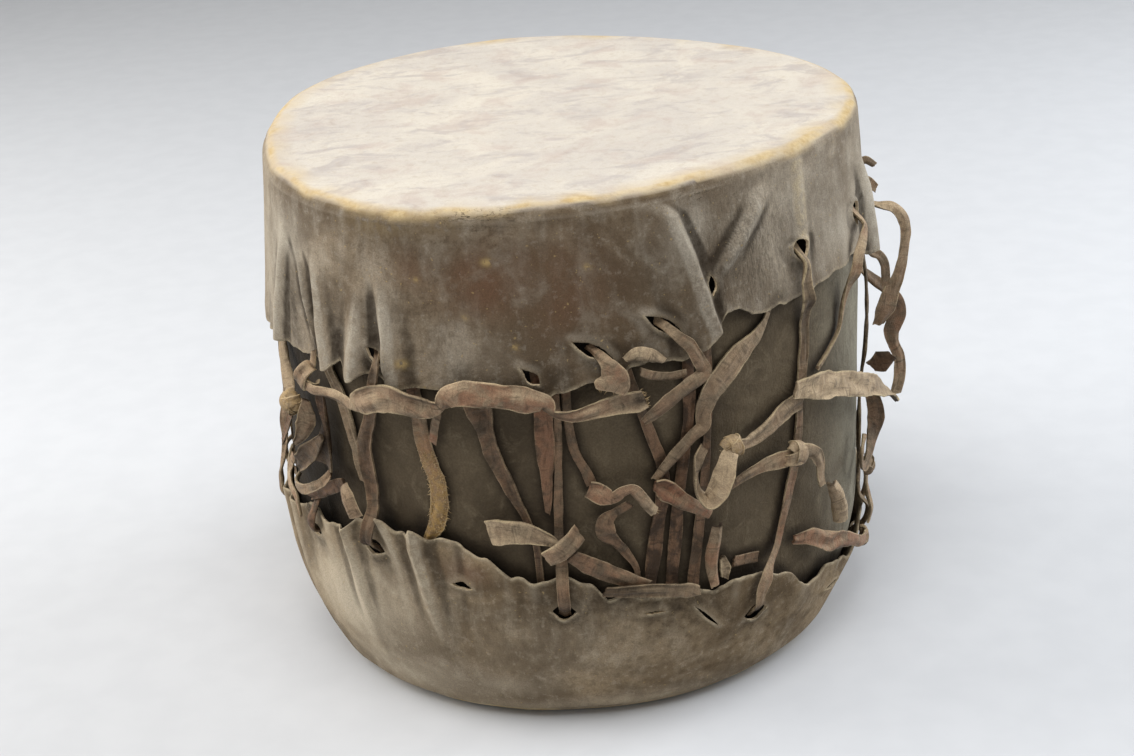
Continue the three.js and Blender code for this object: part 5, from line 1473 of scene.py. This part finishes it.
def add_studio():
    """A plain pale floor and soft light from above and from both sides behind."""
    floor_shade = Shade("pale_floor")
    speck = floor_shade.noise(30, 2, 0.5)
    colour = floor_shade.mix(floor_shade.range(speck, 0.3, 0.7), *FLOOR_TONES)
    material = floor_shade.finish(colour, 0.6, floor_shade.bump(speck, 0.0001))
    add_mesh("floor", FLOOR_CORNERS, [(0, 1, 2, 3)], material)
    world = bpy.data.worlds.new("studio")
    world.use_nodes = True
    sky = world.node_tree.nodes["Background"]
    sky.inputs["Color"].default_value = SKY_COLOUR
    sky.inputs["Strength"].default_value = SKY_STRENGTH
    bpy.context.scene.world = world
    for light in LIGHTS:
        add_area_light(*light)


def dress(piece, node):
    """The piece stands for a CAD node: it hangs under the root body, and the node is hidden."""
    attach(piece, "root")
    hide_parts(node)


def build():
    add_camera()
    add_studio()
    upper_slits = UPPER_SLITS + back_slits(UPPER_EDGE, BACK["start"], 1)
    lower_slits = LOWER_SLITS + back_slits(LOWER_EDGE, BACK["start"] + BACK["step"] / 2, -1)
    # The last value sets how dark each skirt's fold hollows are painted, as dirt and as painted shade.
    upper = dict(side=1, rim=HEIGHT, edge=UPPER_EDGE, folds=UPPER_FOLDS, slits=upper_slits, dirt=1)
    lower = dict(side=-1, rim=0, edge=LOWER_EDGE, folds=LOWER_FOLDS, slits=lower_slits, dirt=0.65)
    straps = dict(STRAPS, back_lacing=back_lacing(), back_lashing=back_lashing())
    tree = strap_tree(straps)
    cut = cut_material("cut_rawhide", *CUT_TONES)
    for name, hide, tones in (("upper", upper, SIDE_TONES), ("lower", lower, LOWER_TONES)):
        skin = hide_material(name + "_rawhide", tones, HEAD_TONES)
        piece = hide_piece(name + "_rawhide_head", hide, skin, cut)
        paint_hide(piece, hide, tree)
        dress(piece, name + "_hide")
    wood = wood_material("weathered_wood", WOOD_TONES)
    dress(shell_piece(wood, (upper, lower), tree), "shell")
    dried = strap_material("strap_rawhide", STRAP_TONES)
    for number, (name, shape) in enumerate(straps.items()):
        dress(strap_piece(name, shape, FIRST_SEED + SEED_STEP * number, dried), name)


bpy.context.scene.view_settings.view_transform = "Standard"
build()
